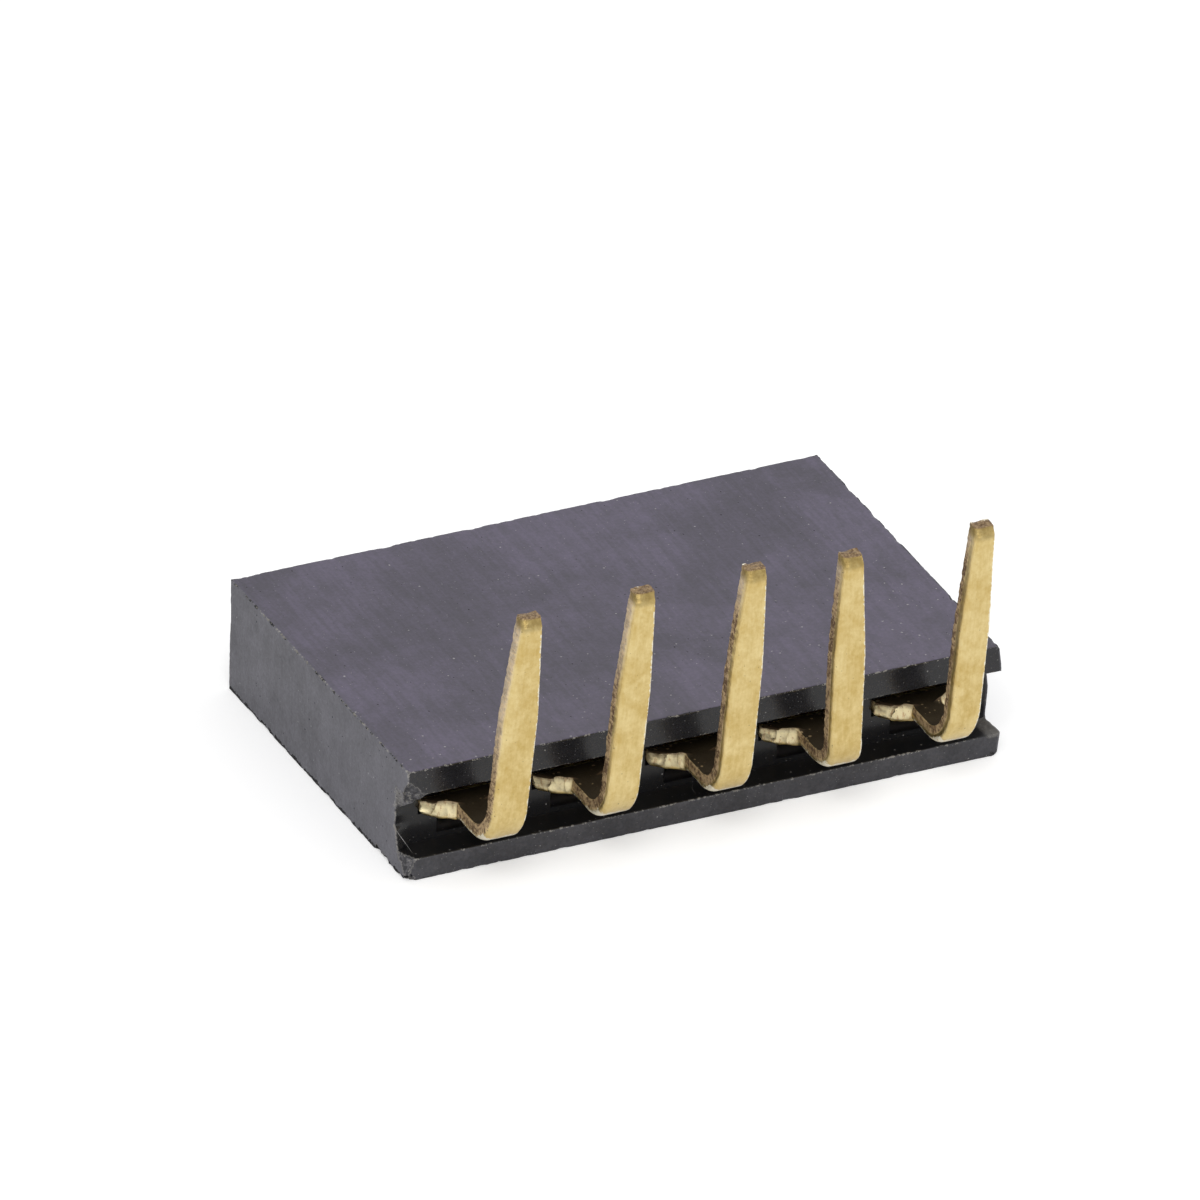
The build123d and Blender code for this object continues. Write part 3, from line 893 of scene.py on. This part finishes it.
def build_contact(contact, housing, number, material):
    """One contact: stamped flat with rolled, torn and sloped edges, then bent up and leaned."""
    c = contact_places(contact, housing, number)
    b = lay_out_blank(c)
    roll_edges(c, b)
    tear_shoulders(c, b)
    slope_tip(c, b)
    points = bend_up(c, b)
    node = f"contact_{number + 1}"
    piece = make_piece(f"gilt_{node}", points, b.faces, contact_marks(c, b), node, material)
    tidy_mesh(piece.data)


# Materials

def add_node(tree, kind, inputs=None, **settings):
    """Adds a node, sets its properties, and fills its inputs or joins them to sockets."""
    made = tree.nodes.new(kind)
    for key, value in settings.items():
        setattr(made, key, value)
    for key, value in (inputs or {}).items():
        if isinstance(value, bpy.types.NodeSocket):
            tree.links.new(value, made.inputs[key])
        else:
            made.inputs[key].default_value = value
    return made


def calc(tree, operation, first, second=0.0, third=0.0, clamp=False):
    """Output of a Math node."""
    inputs = {0: first, 1: second, 2: third}
    return add_node(tree, "ShaderNodeMath", inputs, operation=operation, use_clamp=clamp).outputs[0]


def times(tree, first, *others):
    """Product of values."""
    for other in others:
        first = calc(tree, "MULTIPLY", first, other)
    return first


def weighed(tree, *parts, total=0.0):
    """Sum of values, each with its weight, added to a total."""
    for value, weight in parts:
        total = calc(tree, "MULTIPLY_ADD", value, weight, total)
    return total


def clamped(tree, value):
    """The value, kept between 0 and 1."""
    return calc(tree, "ADD", value, 0.0, clamp=True)


def less_on(tree, value, mask, lost):
    """The value, with a share of it lost where the mask is 1."""
    return calc(tree, "MULTIPLY_ADD", mask, times(tree, value, -lost), value)


def ramp(tree, value, low, high, start=0.0, stop=1.0):
    """Output of a Map Range node with a smooth step."""
    inputs = {"Value": value, "From Min": low, "From Max": high, "To Min": start, "To Max": stop}
    return add_node(tree, "ShaderNodeMapRange", inputs, interpolation_type="SMOOTHSTEP").outputs[0]


def mix(tree, factor, first, second, blend_type="MIX"):
    """Colour output of a Mix node."""
    made = add_node(tree, "ShaderNodeMix", data_type="RGBA", blend_type=blend_type)
    for index, value in ((0, factor), (6, first), (7, second)):
        if isinstance(value, bpy.types.NodeSocket):
            tree.links.new(value, made.inputs[index])
        else:
            made.inputs[index].default_value = value if index == 0 else (*value, 1.0)[:4]
    return made.outputs[2]


def paint(tree, colour, *coats):
    """Lays coats over a colour: for each a mask, how much of what it hides is covered, and its colour."""
    for mask, opacity, coat in coats:
        colour = mix(tree, times(tree, mask, opacity), colour, coat)
    return colour


def stretched(tree, vector, scale):
    """The vector multiplied by a scale along each axis."""
    return add_node(tree, "ShaderNodeVectorMath", {0: vector, 1: scale}, operation="MULTIPLY").outputs[0]


def noise_value(tree, vector, scale, detail, roughness, distortion=0.0):
    """Output of a Noise node."""
    return add_node(tree, "ShaderNodeTexNoise", {
        "Vector": vector, "Scale": scale, "Detail": detail, "Roughness": roughness, "Distortion": distortion,
    }).outputs[0]


def mark(tree, name, output="Fac"):
    """A named value that the mesh carries at its points."""
    return add_node(tree, "ShaderNodeAttribute", attribute_name=name).outputs[output]


def new_group(name, inputs, outputs):
    """An empty shader node group with named sockets, and its input and output nodes."""
    group = bpy.data.node_groups.new(name, "ShaderNodeTree")
    for socket, kind, default in inputs:
        made = group.interface.new_socket(socket, in_out="INPUT", socket_type=f"NodeSocket{kind}")
        if default is not None:
            made.default_value = default
    for socket in outputs:
        group.interface.new_socket(socket, in_out="OUTPUT", socket_type="NodeSocketFloat")
    return group, group.nodes.new("NodeGroupInput").outputs, group.nodes.new("NodeGroupOutput").inputs


def place_group(tree, name, inputs):
    """Places a shared group in a tree with its own values; gives its outputs."""
    return add_node(tree, "ShaderNodeGroup", inputs, node_tree=bpy.data.node_groups[name]).outputs


def clouds_group():
    """Soft clouds and drawn-out lines, both from 0 to 1."""
    inputs = [
        ("Vector", "Vector", None), ("Cloud scale", "Float", 0.6),
        ("Line stretch", "Vector", (10.0, 0.6, 1.0)),
    ]
    group, given, result = new_group("Clouds and lines", inputs, ["Clouds", "Lines"])
    cloud = noise_value(group, given["Vector"], given["Cloud scale"], 4.0, 0.55, 0.4)
    line = noise_value(group, stretched(group, given["Vector"], given["Line stretch"]), 1.0, 3.0, 0.65)
    group.links.new(ramp(group, cloud, 0.32, 0.68), result["Clouds"])
    group.links.new(ramp(group, line, 0.34, 0.66), result["Lines"])


def specks_group():
    """Scattered specks: one in each of a share of the cells."""
    inputs = [
        ("Vector", "Vector", None), ("Cells per mm", "Float", 3.0), ("Size", "Float", 0.08),
        ("Share", "Float", 0.3),
    ]
    group, given, result = new_group("Specks", inputs, ["Mask"])
    bend = add_node(group, "ShaderNodeTexNoise", {"Vector": given["Vector"], "Scale": 14.0, "Detail": 1.0})
    pushed = add_node(
        group, "ShaderNodeVectorMath", {0: bend.outputs[1], 1: (0.03, 0.03, 0.03), 2: given["Vector"]},
        operation="MULTIPLY_ADD",
    )
    cells = add_node(group, "ShaderNodeTexVoronoi", {
        "Vector": pushed.outputs[0], "Scale": given["Cells per mm"], "Randomness": 1.0,
    })
    split = add_node(group, "ShaderNodeSeparateColor", {0: cells.outputs["Color"]})
    size = times(group, given["Size"], calc(group, "ADD", split.outputs[1], 0.4))
    dot = ramp(group, cells.outputs["Distance"], size, times(group, size, 0.55))
    taken = calc(group, "LESS_THAN", split.outputs[0], given["Share"])
    group.links.new(times(group, dot, taken), result["Mask"])


def ragged_group():
    """Noise that rises from 0 to 1 between two levels: the closer they are, the harder its edges."""
    inputs = [
        ("Vector", "Vector", None), ("Scale", "Float", 8.0), ("Low", "Float", 0.3), ("High", "Float", 0.7),
    ]
    group, given, result = new_group("Ragged noise", inputs, ["Value"])
    grain = noise_value(group, given["Vector"], given["Scale"], 3.0, 0.7)
    group.links.new(ramp(group, grain, given["Low"], given["High"]), result["Value"])


def cover_group():
    """Ragged spots that cover about a given share of a surface, which may vary over it."""
    inputs = [("Vector", "Vector", None), ("Scale", "Float", 10.0), ("Share", "Float", 0.3)]
    group, given, result = new_group("Ragged cover", inputs, ["Mask"])
    gap = calc(group, "SUBTRACT", given["Share"], ragged(group, given["Vector"], given["Scale"], 0.30, 0.70))
    group.links.new(ramp(group, gap, 0.0, 0.12), result["Mask"])


def clouded(tree, place, scale, stretch):
    """Clouds and lines of the shared group."""
    inputs = {"Vector": place, "Cloud scale": scale, "Line stretch": stretch}
    return place_group(tree, "Clouds and lines", inputs)


def speckled(tree, place, cells, size, taken):
    """Mask of the shared specks, which are in a share of the cells."""
    inputs = {"Vector": place, "Cells per mm": cells, "Size": size, "Share": taken}
    return place_group(tree, "Specks", inputs)["Mask"]


def ragged(tree, place, scale, low, high):
    """The shared ragged noise, from 0 to 1."""
    inputs = {"Vector": place, "Scale": scale, "Low": low, "High": high}
    return place_group(tree, "Ragged noise", inputs)["Value"]


def covered(tree, place, scale, level):
    """Mask of the shared ragged cover."""
    return place_group(tree, "Ragged cover", {"Vector": place, "Scale": scale, "Share": level})["Mask"]


def start_material(name):
    """Makes a material; gives its tree, its coordinates, and the place on the part in millimetres."""
    material = bpy.data.materials.new(name)
    material.use_nodes = True
    tree = material.node_tree
    coords = add_node(tree, "ShaderNodeTexCoord").outputs
    scaled = add_node(tree, "ShaderNodeVectorMath", {0: coords["Object"], 3: 1 / MM}, operation="SCALE")
    return tree, coords, scaled.outputs[0]


def end_material(tree, colour, roughness, height, strength):
    """Joins the colour, the roughness and the bump to the material's shader."""
    shader = tree.nodes["Principled BSDF"]
    bump = add_node(tree, "ShaderNodeBump", {
        "Strength": strength, "Distance": BUMP_HEIGHT * MM, "Height": height,
    })
    tree.links.new(colour, shader.inputs["Base Color"])
    tree.links.new(clamped(tree, roughness), shader.inputs["Roughness"])
    tree.links.new(bump.outputs[0], shader.inputs["Normal"])


def plastic_patterns(tree, coords, place, finish):
    """Faces, patterns, dirt, wear and painted edge shade of the plastic, each a value at every place of its
    surface.
    """
    p = SimpleNamespace(place=place, middle=HOUSING_HIGH.z / MM / 2)
    p.rear_y, p.front_y = HOUSING_LOW.y / MM, HOUSING_HIGH.y / MM
    facing = add_node(tree, "ShaderNodeSeparateXYZ", {0: coords["Normal"]}).outputs
    p.where = add_node(tree, "ShaderNodeSeparateXYZ", {0: place}).outputs
    p.from_middle = calc(tree, "ABSOLUTE", calc(tree, "SUBTRACT", p.where["Z"], p.middle))
    level = ramp(tree, calc(tree, "ABSOLUTE", facing["Z"]), 0.75, 0.97)
    p.wide_face = times(tree, level, ramp(tree, p.from_middle, p.middle - 0.2, p.middle))
    p.rear = ramp(tree, facing["Y"], -0.6, -0.95)
    p.clouds = clouded(tree, place, 0.30, (7.0, 0.45, 3.0))
    p.drag = clouded(tree, place, 1.1, (13.0, 1.6, 3.0))
    p.blotches = clouded(tree, place, 0.9, (2.6, 2.6, 2.6))
    p.saw = clouded(tree, place, 2.0, (1.0, 9.0, 0.5))
    p.grain = noise_value(tree, place, 13.0, 4.0, 0.75)
    p.stress = ragged(tree, place, 5.0, 0.42, 0.66)
    for name in ("cut", "broken", "hair", "dark_edge", "light_edge"):
        setattr(p, name, mark(tree, name))
    p.patches = weighed(
        tree, (p.blotches["Clouds"], 0.34), (p.blotches["Lines"], 0.26), (p.saw["Lines"], 0.14),
        (ragged(tree, place, 9.0, 0.3, 0.7), 0.26),
    )
    dusty = times(tree, ramp(tree, p.where["Y"], 3.0, p.rear_y, 0.25, 1.0), finish.dust_share)
    p.dust = speckled(tree, place, 5.0, 0.10, less_on(tree, dusty, p.rear, 0.6))
    p.fine_dust = speckled(tree, stretched(tree, place, (1.0, 1.0, 1.7)), 11.0, 0.12, 0.6)
    p.pits = speckled(tree, stretched(tree, place, (1.3, 1.0, 1.1)), 4.6, 0.10, 0.7)
    # Painted shade along the edges, broken into dashes.
    p.dashes = covered(tree, place, 6.0, p.dark_edge)
    return p


def moulded_colour(tree, p, finish):
    """The plastic as moulded, with a painted sheen on the wide faces, painted light on the rear faces that
    grows towards the bottom, and painted light in the depths of the cavities.
    """
    # Painted sheen on the top and bottom faces, varied by clouds and lines.
    painted_sheen_share = p.wide_face
    for pattern, low, high in (
        (p.clouds["Clouds"], 0.62, 1.06), (p.clouds["Lines"], 0.80, 1.02), (p.drag["Lines"], 0.90, 1.02),
        (p.blotches["Lines"], 0.88, 1.04),
    ):
        painted_sheen_share = times(tree, painted_sheen_share, ramp(tree, pattern, 0.0, 1.0, low, high))
    # Painted light on the rear faces: the cut tone, stronger towards the bottom, unevenly spread and mostly
    # left off the channel's back wall.
    uneven = ramp(tree, p.blotches["Lines"], 0.0, 1.0, 0.8, 1.1)
    painted_rear_light = times(tree, p.rear, ramp(tree, p.where["Z"], 1.9, 0.5, 0.10, 0.42), uneven)
    in_channel = calc(tree, "GREATER_THAN", p.where["Y"], p.rear_y + 0.2)
    # Painted light: the depths of the cavities are lightened towards the cut tone where they would lie in
    # shade.
    painted_cavity_light = times(
        tree, ramp(tree, p.where["Y"], p.rear_y + 0.7, p.rear_y + 0.9),
        ramp(tree, p.where["Y"], p.front_y - 0.8, p.front_y - 1.2),
        calc(tree, "LESS_THAN", p.from_middle, p.middle - 0.4),
    )
    colour = mix(tree, painted_sheen_share, finish.plastic, finish.painted_sheen)
    colour = mix(tree, less_on(tree, painted_rear_light, in_channel, 0.9), colour, finish.cut)
    return paint(tree, colour, (painted_cavity_light, 0.6, finish.cut))


def parted_colour(tree, p, finish, colour):
    """Adds the sawn and scuffed end faces, and the breaks with their pale stress marks and rims."""
    sawn = mix(tree, p.patches, finish.cut * 0.62, finish.cut * 1.34)
    sawn = mix(tree, ramp(tree, p.where["Y"], 1.0, p.rear_y, 0.0, 0.35), sawn, finish.cut * 1.35)
    torn = mix(tree, p.stress, finish.cut * 0.25, finish.broken)
    rim = times(tree, p.broken, calc(tree, "SUBTRACT", 1.0, p.broken))
    colour = mix(tree, p.cut, colour, sawn)
    colour = mix(tree, p.broken, colour, torn)
    return paint(tree, colour, (rim, 1.3, finish.crumbs_and_painted_highlight))


def soiled_colour(tree, p, finish, colour):
    """Adds grain, painted shade and painted highlights along the edges, pits, dust and the pale slivers."""
    shade = ramp(tree, p.grain, 0.3, 0.7, 0.80, 1.16)
    grey = add_node(tree, "ShaderNodeCombineColor", {0: shade, 1: shade, 2: shade}).outputs[0]
    colour = mix(tree, 1.0, colour, grey, "MULTIPLY")
    colour = mix(tree, p.dashes, colour, finish.painted_edge_shade)
    # Painted highlight along the edges that face the light, broken into pale flecks.
    here = ramp(tree, p.blotches["Clouds"], 0.0, 1.0, 0.6, 1.1)
    crumbs_and_painted_highlight = covered(tree, p.place, 12.0, times(tree, p.light_edge, here))
    return paint(
        tree, colour, (crumbs_and_painted_highlight, 0.6, finish.crumbs_and_painted_highlight), (p.pits, 0.75, finish.pit), (p.dust, 0.42, finish.dust),
        (p.fine_dust, 0.28, finish.dust), (p.hair, 0.5, finish.dust),
    )


def plastic_material(finish):
    """Moulded black plastic with a painted sheen, drag lines, dust, parted ends, worn edges with painted
    shade and highlights, and breaks.
    """
    tree, coords, place = start_material("moulded_plastic")
    p = plastic_patterns(tree, coords, place, finish)
    colour = moulded_colour(tree, p, finish)
    colour = parted_colour(tree, p, finish, colour)
    colour = soiled_colour(tree, p, finish, colour)
    roughness = weighed(
        tree, (p.clouds["Clouds"], -0.06), (p.rear, -0.14), (p.cut, 0.16), (p.broken, 0.14), (p.dashes, 0.45),
        (p.pits, 0.35), total=0.40,
    )
    height = weighed(
        tree, (p.grain, 0.6), (p.drag["Lines"], 0.12), (p.dust, 2.5), (p.pits, -2.5),
        (times(tree, p.cut, p.patches), 1.6), (times(tree, p.broken, p.stress), 5.0),
    )
    end_material(tree, colour, roughness, height, 0.6)


def gilt_patterns(tree, place):
    """Patterns, dirt and marks of a gilt strip, each a value at every place of its surface."""
    g = SimpleNamespace(flat=mark(tree, "flat", "Vector"))
    for name in ("sheared", "torn", "painted_tip_shade", "top", "cropped", "hollow", "pale", "crazed_and_painted_highlight", "inner"):
        setattr(g, name, mark(tree, name))
    g.clouds = clouded(tree, place, 1.5, (3.0, 3.0, 3.0))
    g.brushed = clouded(tree, g.flat, 4.0, (14.0, 1.3, 4.0))
    g.blotches = ragged(tree, place, 3.4, 0.38, 0.62)
    g.peel = ragged(tree, stretched(tree, place, (1.2, 1.2, 0.8)), 8.0, 0.32, 0.68)
    g.grain = ragged(tree, place, 15.0, 0.34, 0.66)
    g.streaks = ragged(tree, stretched(tree, g.flat, (0.3, 1.0, 0.25)), 16.0, 0.36, 0.64)
    g.flecks = ragged(tree, stretched(tree, place, (1.6, 1.6, 0.7)), 8.0, 0.34, 0.46)
    g.specks = speckled(tree, place, 7.0, 0.12, 0.7)
    g.flaked = speckled(tree, place, 9.0, 0.30, 0.22)
    # Whitish marks: painted highlights along the edges and a painted reflection of the floor under the bend,
    # with pale dragged-up metal at the tips.
    g.cracks = covered(tree, place, 10.0, g.crazed_and_painted_highlight)
    return g


def gilt_colour(tree, g, finish):
    """Mottled gilt, painted shade inside the bend, the sheared sides, the tip with painted shade over its
    slope, the shoulders, and whitish crazing mixed with painted highlights and a painted reflection under the
    bend.
    """
    mottle = weighed(
        tree, (g.clouds["Clouds"], 0.34), (g.blotches, 0.22), (g.brushed["Lines"], 0.16), (g.peel, 0.17),
        (g.grain, 0.11),
    )
    colour = mix(tree, mottle, finish.gilt, finish.pale_gilt)
    scored = ramp(tree, weighed(tree, (g.streaks, 0.26), (g.grain, 0.42), (g.blotches, 0.32)), 0.26, 0.72)
    bare = mix(tree, scored, finish.tarnish, finish.bare_brass)
    side = paint(tree, bare, (g.torn, 0.35, finish.tarnish))
    painted_bend_shade = mix(tree, times(tree, g.flaked, 0.5), finish.shaded, finish.bare_brass)
    top = mix(tree, times(tree, g.grain, 0.4), finish.tarnish, finish.bare_brass)
    cropped = mix(tree, g.flecks, finish.bare_brass, finish.cropped)
    return paint(
        tree, colour,
        (g.inner, 0.97, painted_bend_shade),
        (g.sheared, 1.0, side),
        (g.pale, ramp(tree, g.grain, 0.0, 1.0, 0.50, 0.20), finish.sheared_rim),
        (g.painted_tip_shade, ramp(tree, g.peel, 0.0, 1.0, 0.88, 0.76), finish.painted_tip_shade),
        (g.top, 1.0, top),
        (g.cropped, 1.0, cropped),
        (g.hollow, ramp(tree, g.grain, 0.0, 1.0, 0.7, 1.0), finish.tarnish),
        (g.cracks, 0.75, finish.crazed_and_painted_highlight),
        (g.specks, 0.55, finish.tarnish),
    )


def gilt_material(finish):
    """Gold flash on rolled strip, mottled and dotted, with sheared sides, torn shoulders and sloped tips."""
    tree, _, place = start_material("gilt_strip")
    g = gilt_patterns(tree, place)
    metallic = weighed(
        tree, (g.sheared, -0.5), (g.cropped, -0.25), (g.cracks, -0.65), (g.inner, -0.3), (g.hollow, -0.5),
        (g.top, -0.3), (g.pale, -0.2), total=1.0,
    )
    tree.links.new(clamped(tree, metallic), tree.nodes["Principled BSDF"].inputs["Metallic"])
    roughness = weighed(
        tree, (g.brushed["Lines"], 0.08), (g.sheared, 0.25), (g.painted_tip_shade, 0.14), (g.cropped, 0.12),
        (g.inner, 0.25), total=0.30,
    )
    rough_edge = weighed(tree, (g.sheared, 1.6), (g.cropped, 1.8), (g.painted_tip_shade, 1.0), (g.top, 2.0), total=0.4)
    height = weighed(
        tree, (g.brushed["Lines"], 0.5), (g.peel, 1.4), (g.blotches, 0.8), (g.specks, -1.5),
        (g.grain, rough_edge), (times(tree, g.streaks, g.sheared), 1.5),
    )
    end_material(tree, gilt_colour(tree, g, finish), roughness, height, 0.5)


# Stage

def white_world(studio):
    """A white studio: full white where it is seen, softer where it lights."""
    world = bpy.data.worlds.new("white_studio")
    world.use_nodes = True
    bpy.context.scene.world = world
    tree = world.node_tree
    path = add_node(tree, "ShaderNodeLightPath").outputs
    seen = calc(tree, "MAXIMUM", path["Is Camera Ray"], path["Is Glossy Ray"])
    seen = calc(tree, "MAXIMUM", seen, path["Is Transmission Ray"])
    background = tree.nodes["Background"]
    background.inputs["Color"].default_value = (1, 1, 1, 1)
    strength = weighed(tree, (seen, 1.0 - studio.fill), total=studio.fill)
    tree.links.new(strength, background.inputs["Strength"])


def floor_material(studio):
    """Pale floor that keeps the shadow, is topped up to white where seen, and is clear from below."""
    material = bpy.data.materials.new("pale_floor")
    material.use_nodes = True
    tree = material.node_tree
    shader = tree.nodes["Principled BSDF"]
    shader.inputs["Base Color"].default_value = (*studio.floor_tone, 1)
    shader.inputs["Roughness"].default_value = 0.9
    shader.inputs["Specular IOR Level"].default_value = 0.0
    seen = add_node(tree, "ShaderNodeLightPath").outputs["Is Camera Ray"]
    lift = add_node(tree, "ShaderNodeEmission", {"Strength": times(tree, seen, studio.floor_lift)})
    lit = add_node(tree, "ShaderNodeAddShader", {0: shader.outputs[0], 1: lift.outputs[0]})
    clear = add_node(tree, "ShaderNodeBsdfTransparent")
    back = add_node(tree, "ShaderNodeNewGeometry").outputs["Backfacing"]
    both = add_node(tree, "ShaderNodeMixShader", {0: back, 1: lit.outputs[0], 2: clear.outputs[0]})
    tree.links.new(both.outputs[0], tree.nodes["Material Output"].inputs["Surface"])
    return material


def add_floor(studio):
    """The floor under the part: one square face."""
    half = studio.floor_size / 2
    corners = [(-half, -half, 0), (half, -half, 0), (half, half, 0), (-half, half, 0)]
    mesh = bpy.data.meshes.new("floor")
    mesh.from_pydata(corners, [], [(0, 1, 2, 3)])
    mesh.materials.append(floor_material(studio))
    floor = bpy.data.objects.new("floor", mesh)
    bpy.context.scene.collection.objects.link(floor)


def add_softbox(name, place_mm, size_mm, power):
    """An area lamp that faces the part's origin."""
    lamp = bpy.data.lights.new(name, "AREA")
    lamp.shape = "SQUARE"
    lamp.size = size_mm * MM
    lamp.energy = power
    holder = bpy.data.objects.new(name, lamp)
    holder.location = Vector(place_mm) * MM
    holder.rotation_euler = (-holder.location).to_track_quat("-Z", "Y").to_euler()
    bpy.context.scene.collection.objects.link(holder)


def add_lamps():
    """A soft key lamp from the front left, and a weaker one for the right-hand edges."""
    add_softbox("key_lamp", place_mm=(-60, -90, 110), size_mm=80, power=0.10)
    add_softbox("edge_lamp", place_mm=(110, -30, 60), size_mm=50, power=0.05)


def add_camera(studio):
    """Camera at the photograph's angle, scale and framing."""
    azimuth, elevation, roll = studio.azimuth, studio.elevation, studio.roll
    right = Vector((math.cos(azimuth), -math.sin(azimuth), 0))
    level = Vector((math.sin(azimuth), math.cos(azimuth), 0))
    ahead = level * math.cos(elevation) - Vector((0, 0, math.sin(elevation)))
    up = right.cross(ahead)
    image_right = right * math.cos(roll) - up * math.sin(roll)
    image_up = right * math.sin(roll) + up * math.cos(roll)
    over = (PIXELS / 2 - studio.origin_pixel[0]) / studio.pixels_per_mm * MM
    above = (studio.origin_pixel[1] - PIXELS / 2) / studio.pixels_per_mm * MM
    centre = image_right * over + image_up * above
    data = bpy.data.cameras.new("camera")
    data.sensor_width = 36.0
    data.lens = data.sensor_width * studio.pixels_per_mm * (studio.distance / MM) / PIXELS
    data.clip_start, data.clip_end = 0.05, 10.0
    camera = bpy.data.objects.new("camera", data)
    rotation = Matrix((image_right, image_up, -ahead)).transposed()
    camera.matrix_world = Matrix.Translation(centre - ahead * studio.distance) @ rotation.to_4x4()
    bpy.context.scene.collection.objects.link(camera)
    bpy.context.scene.camera = camera


# Operators

class HEADER_OT_finishes(bpy.types.Operator):
    """Make the shared node groups and the materials"""

    bl_idname = "header.finishes"
    bl_label = "Make finishes"

    def execute(self, context):
        clouds_group()
        specks_group()
        ragged_group()
        cover_group()
        plastic_material(context.scene.header_finishes)
        gilt_material(context.scene.header_finishes)
        return {"FINISHED"}


class HEADER_OT_housing(bpy.types.Operator):
    """Build the worn moulded housing"""

    bl_idname = "header.housing"
    bl_label = "Build housing"

    def execute(self, context):
        scene = context.scene
        build_housing(scene.header_housing, scene.header_contact, bpy.data.materials["moulded_plastic"])
        return {"FINISHED"}


class HEADER_OT_contacts(bpy.types.Operator):
    """Stamp and bend the contacts"""

    bl_idname = "header.contacts"
    bl_label = "Build contacts"

    def execute(self, context):
        scene = context.scene
        gilt = bpy.data.materials["gilt_strip"]
        for number in range(POSITIONS):
            build_contact(scene.header_contact, scene.header_housing, number, gilt)
        return {"FINISHED"}


class HEADER_OT_stage(bpy.types.Operator):
    """Set up the floor, the lamps, the world and the camera"""

    bl_idname = "header.stage"
    bl_label = "Set the stage"

    def execute(self, context):
        studio = context.scene.header_studio
        add_floor(studio)
        white_world(studio)
        add_lamps()
        add_camera(studio)
        context.scene.view_settings.view_transform = "Standard"
        return {"FINISHED"}


class HEADER_PT_panel(bpy.types.Panel):
    """Lists the steps and the settings"""

    bl_label = "Header"
    bl_idname = "HEADER_PT_panel"
    bl_space_type = "VIEW_3D"
    bl_region_type = "UI"
    bl_category = "Header"

    def draw(self, context):
        for step in STEPS:
            self.layout.operator(step.bl_idname)
        for name in SETTINGS:
            group = getattr(context.scene, name)
            for prop in group.bl_rna.properties:
                if prop.identifier not in ("rna_type", "name"):
                    self.layout.prop(group, prop.identifier)


STEPS = (HEADER_OT_finishes, HEADER_OT_housing, HEADER_OT_contacts, HEADER_OT_stage)
SETTINGS = {
    "header_housing": HousingSizes,
    "header_contact": ContactSizes,
    "header_finishes": Finishes,
    "header_studio": Studio,
}
CLASSES = (*SETTINGS.values(), *STEPS, HEADER_PT_panel)


def register():
    for cls in CLASSES:
        bpy.utils.register_class(cls)
    for name, group in SETTINGS.items():
        setattr(bpy.types.Scene, name, PointerProperty(type=group))


def unregister():
    for name in SETTINGS:
        delattr(bpy.types.Scene, name)
    for cls in reversed(CLASSES):
        bpy.utils.unregister_class(cls)


def main():
    register()
    bpy.ops.header.finishes()
    bpy.ops.header.housing()
    bpy.ops.header.contacts()
    bpy.ops.header.stage()


if __name__ == "__main__":
    main()
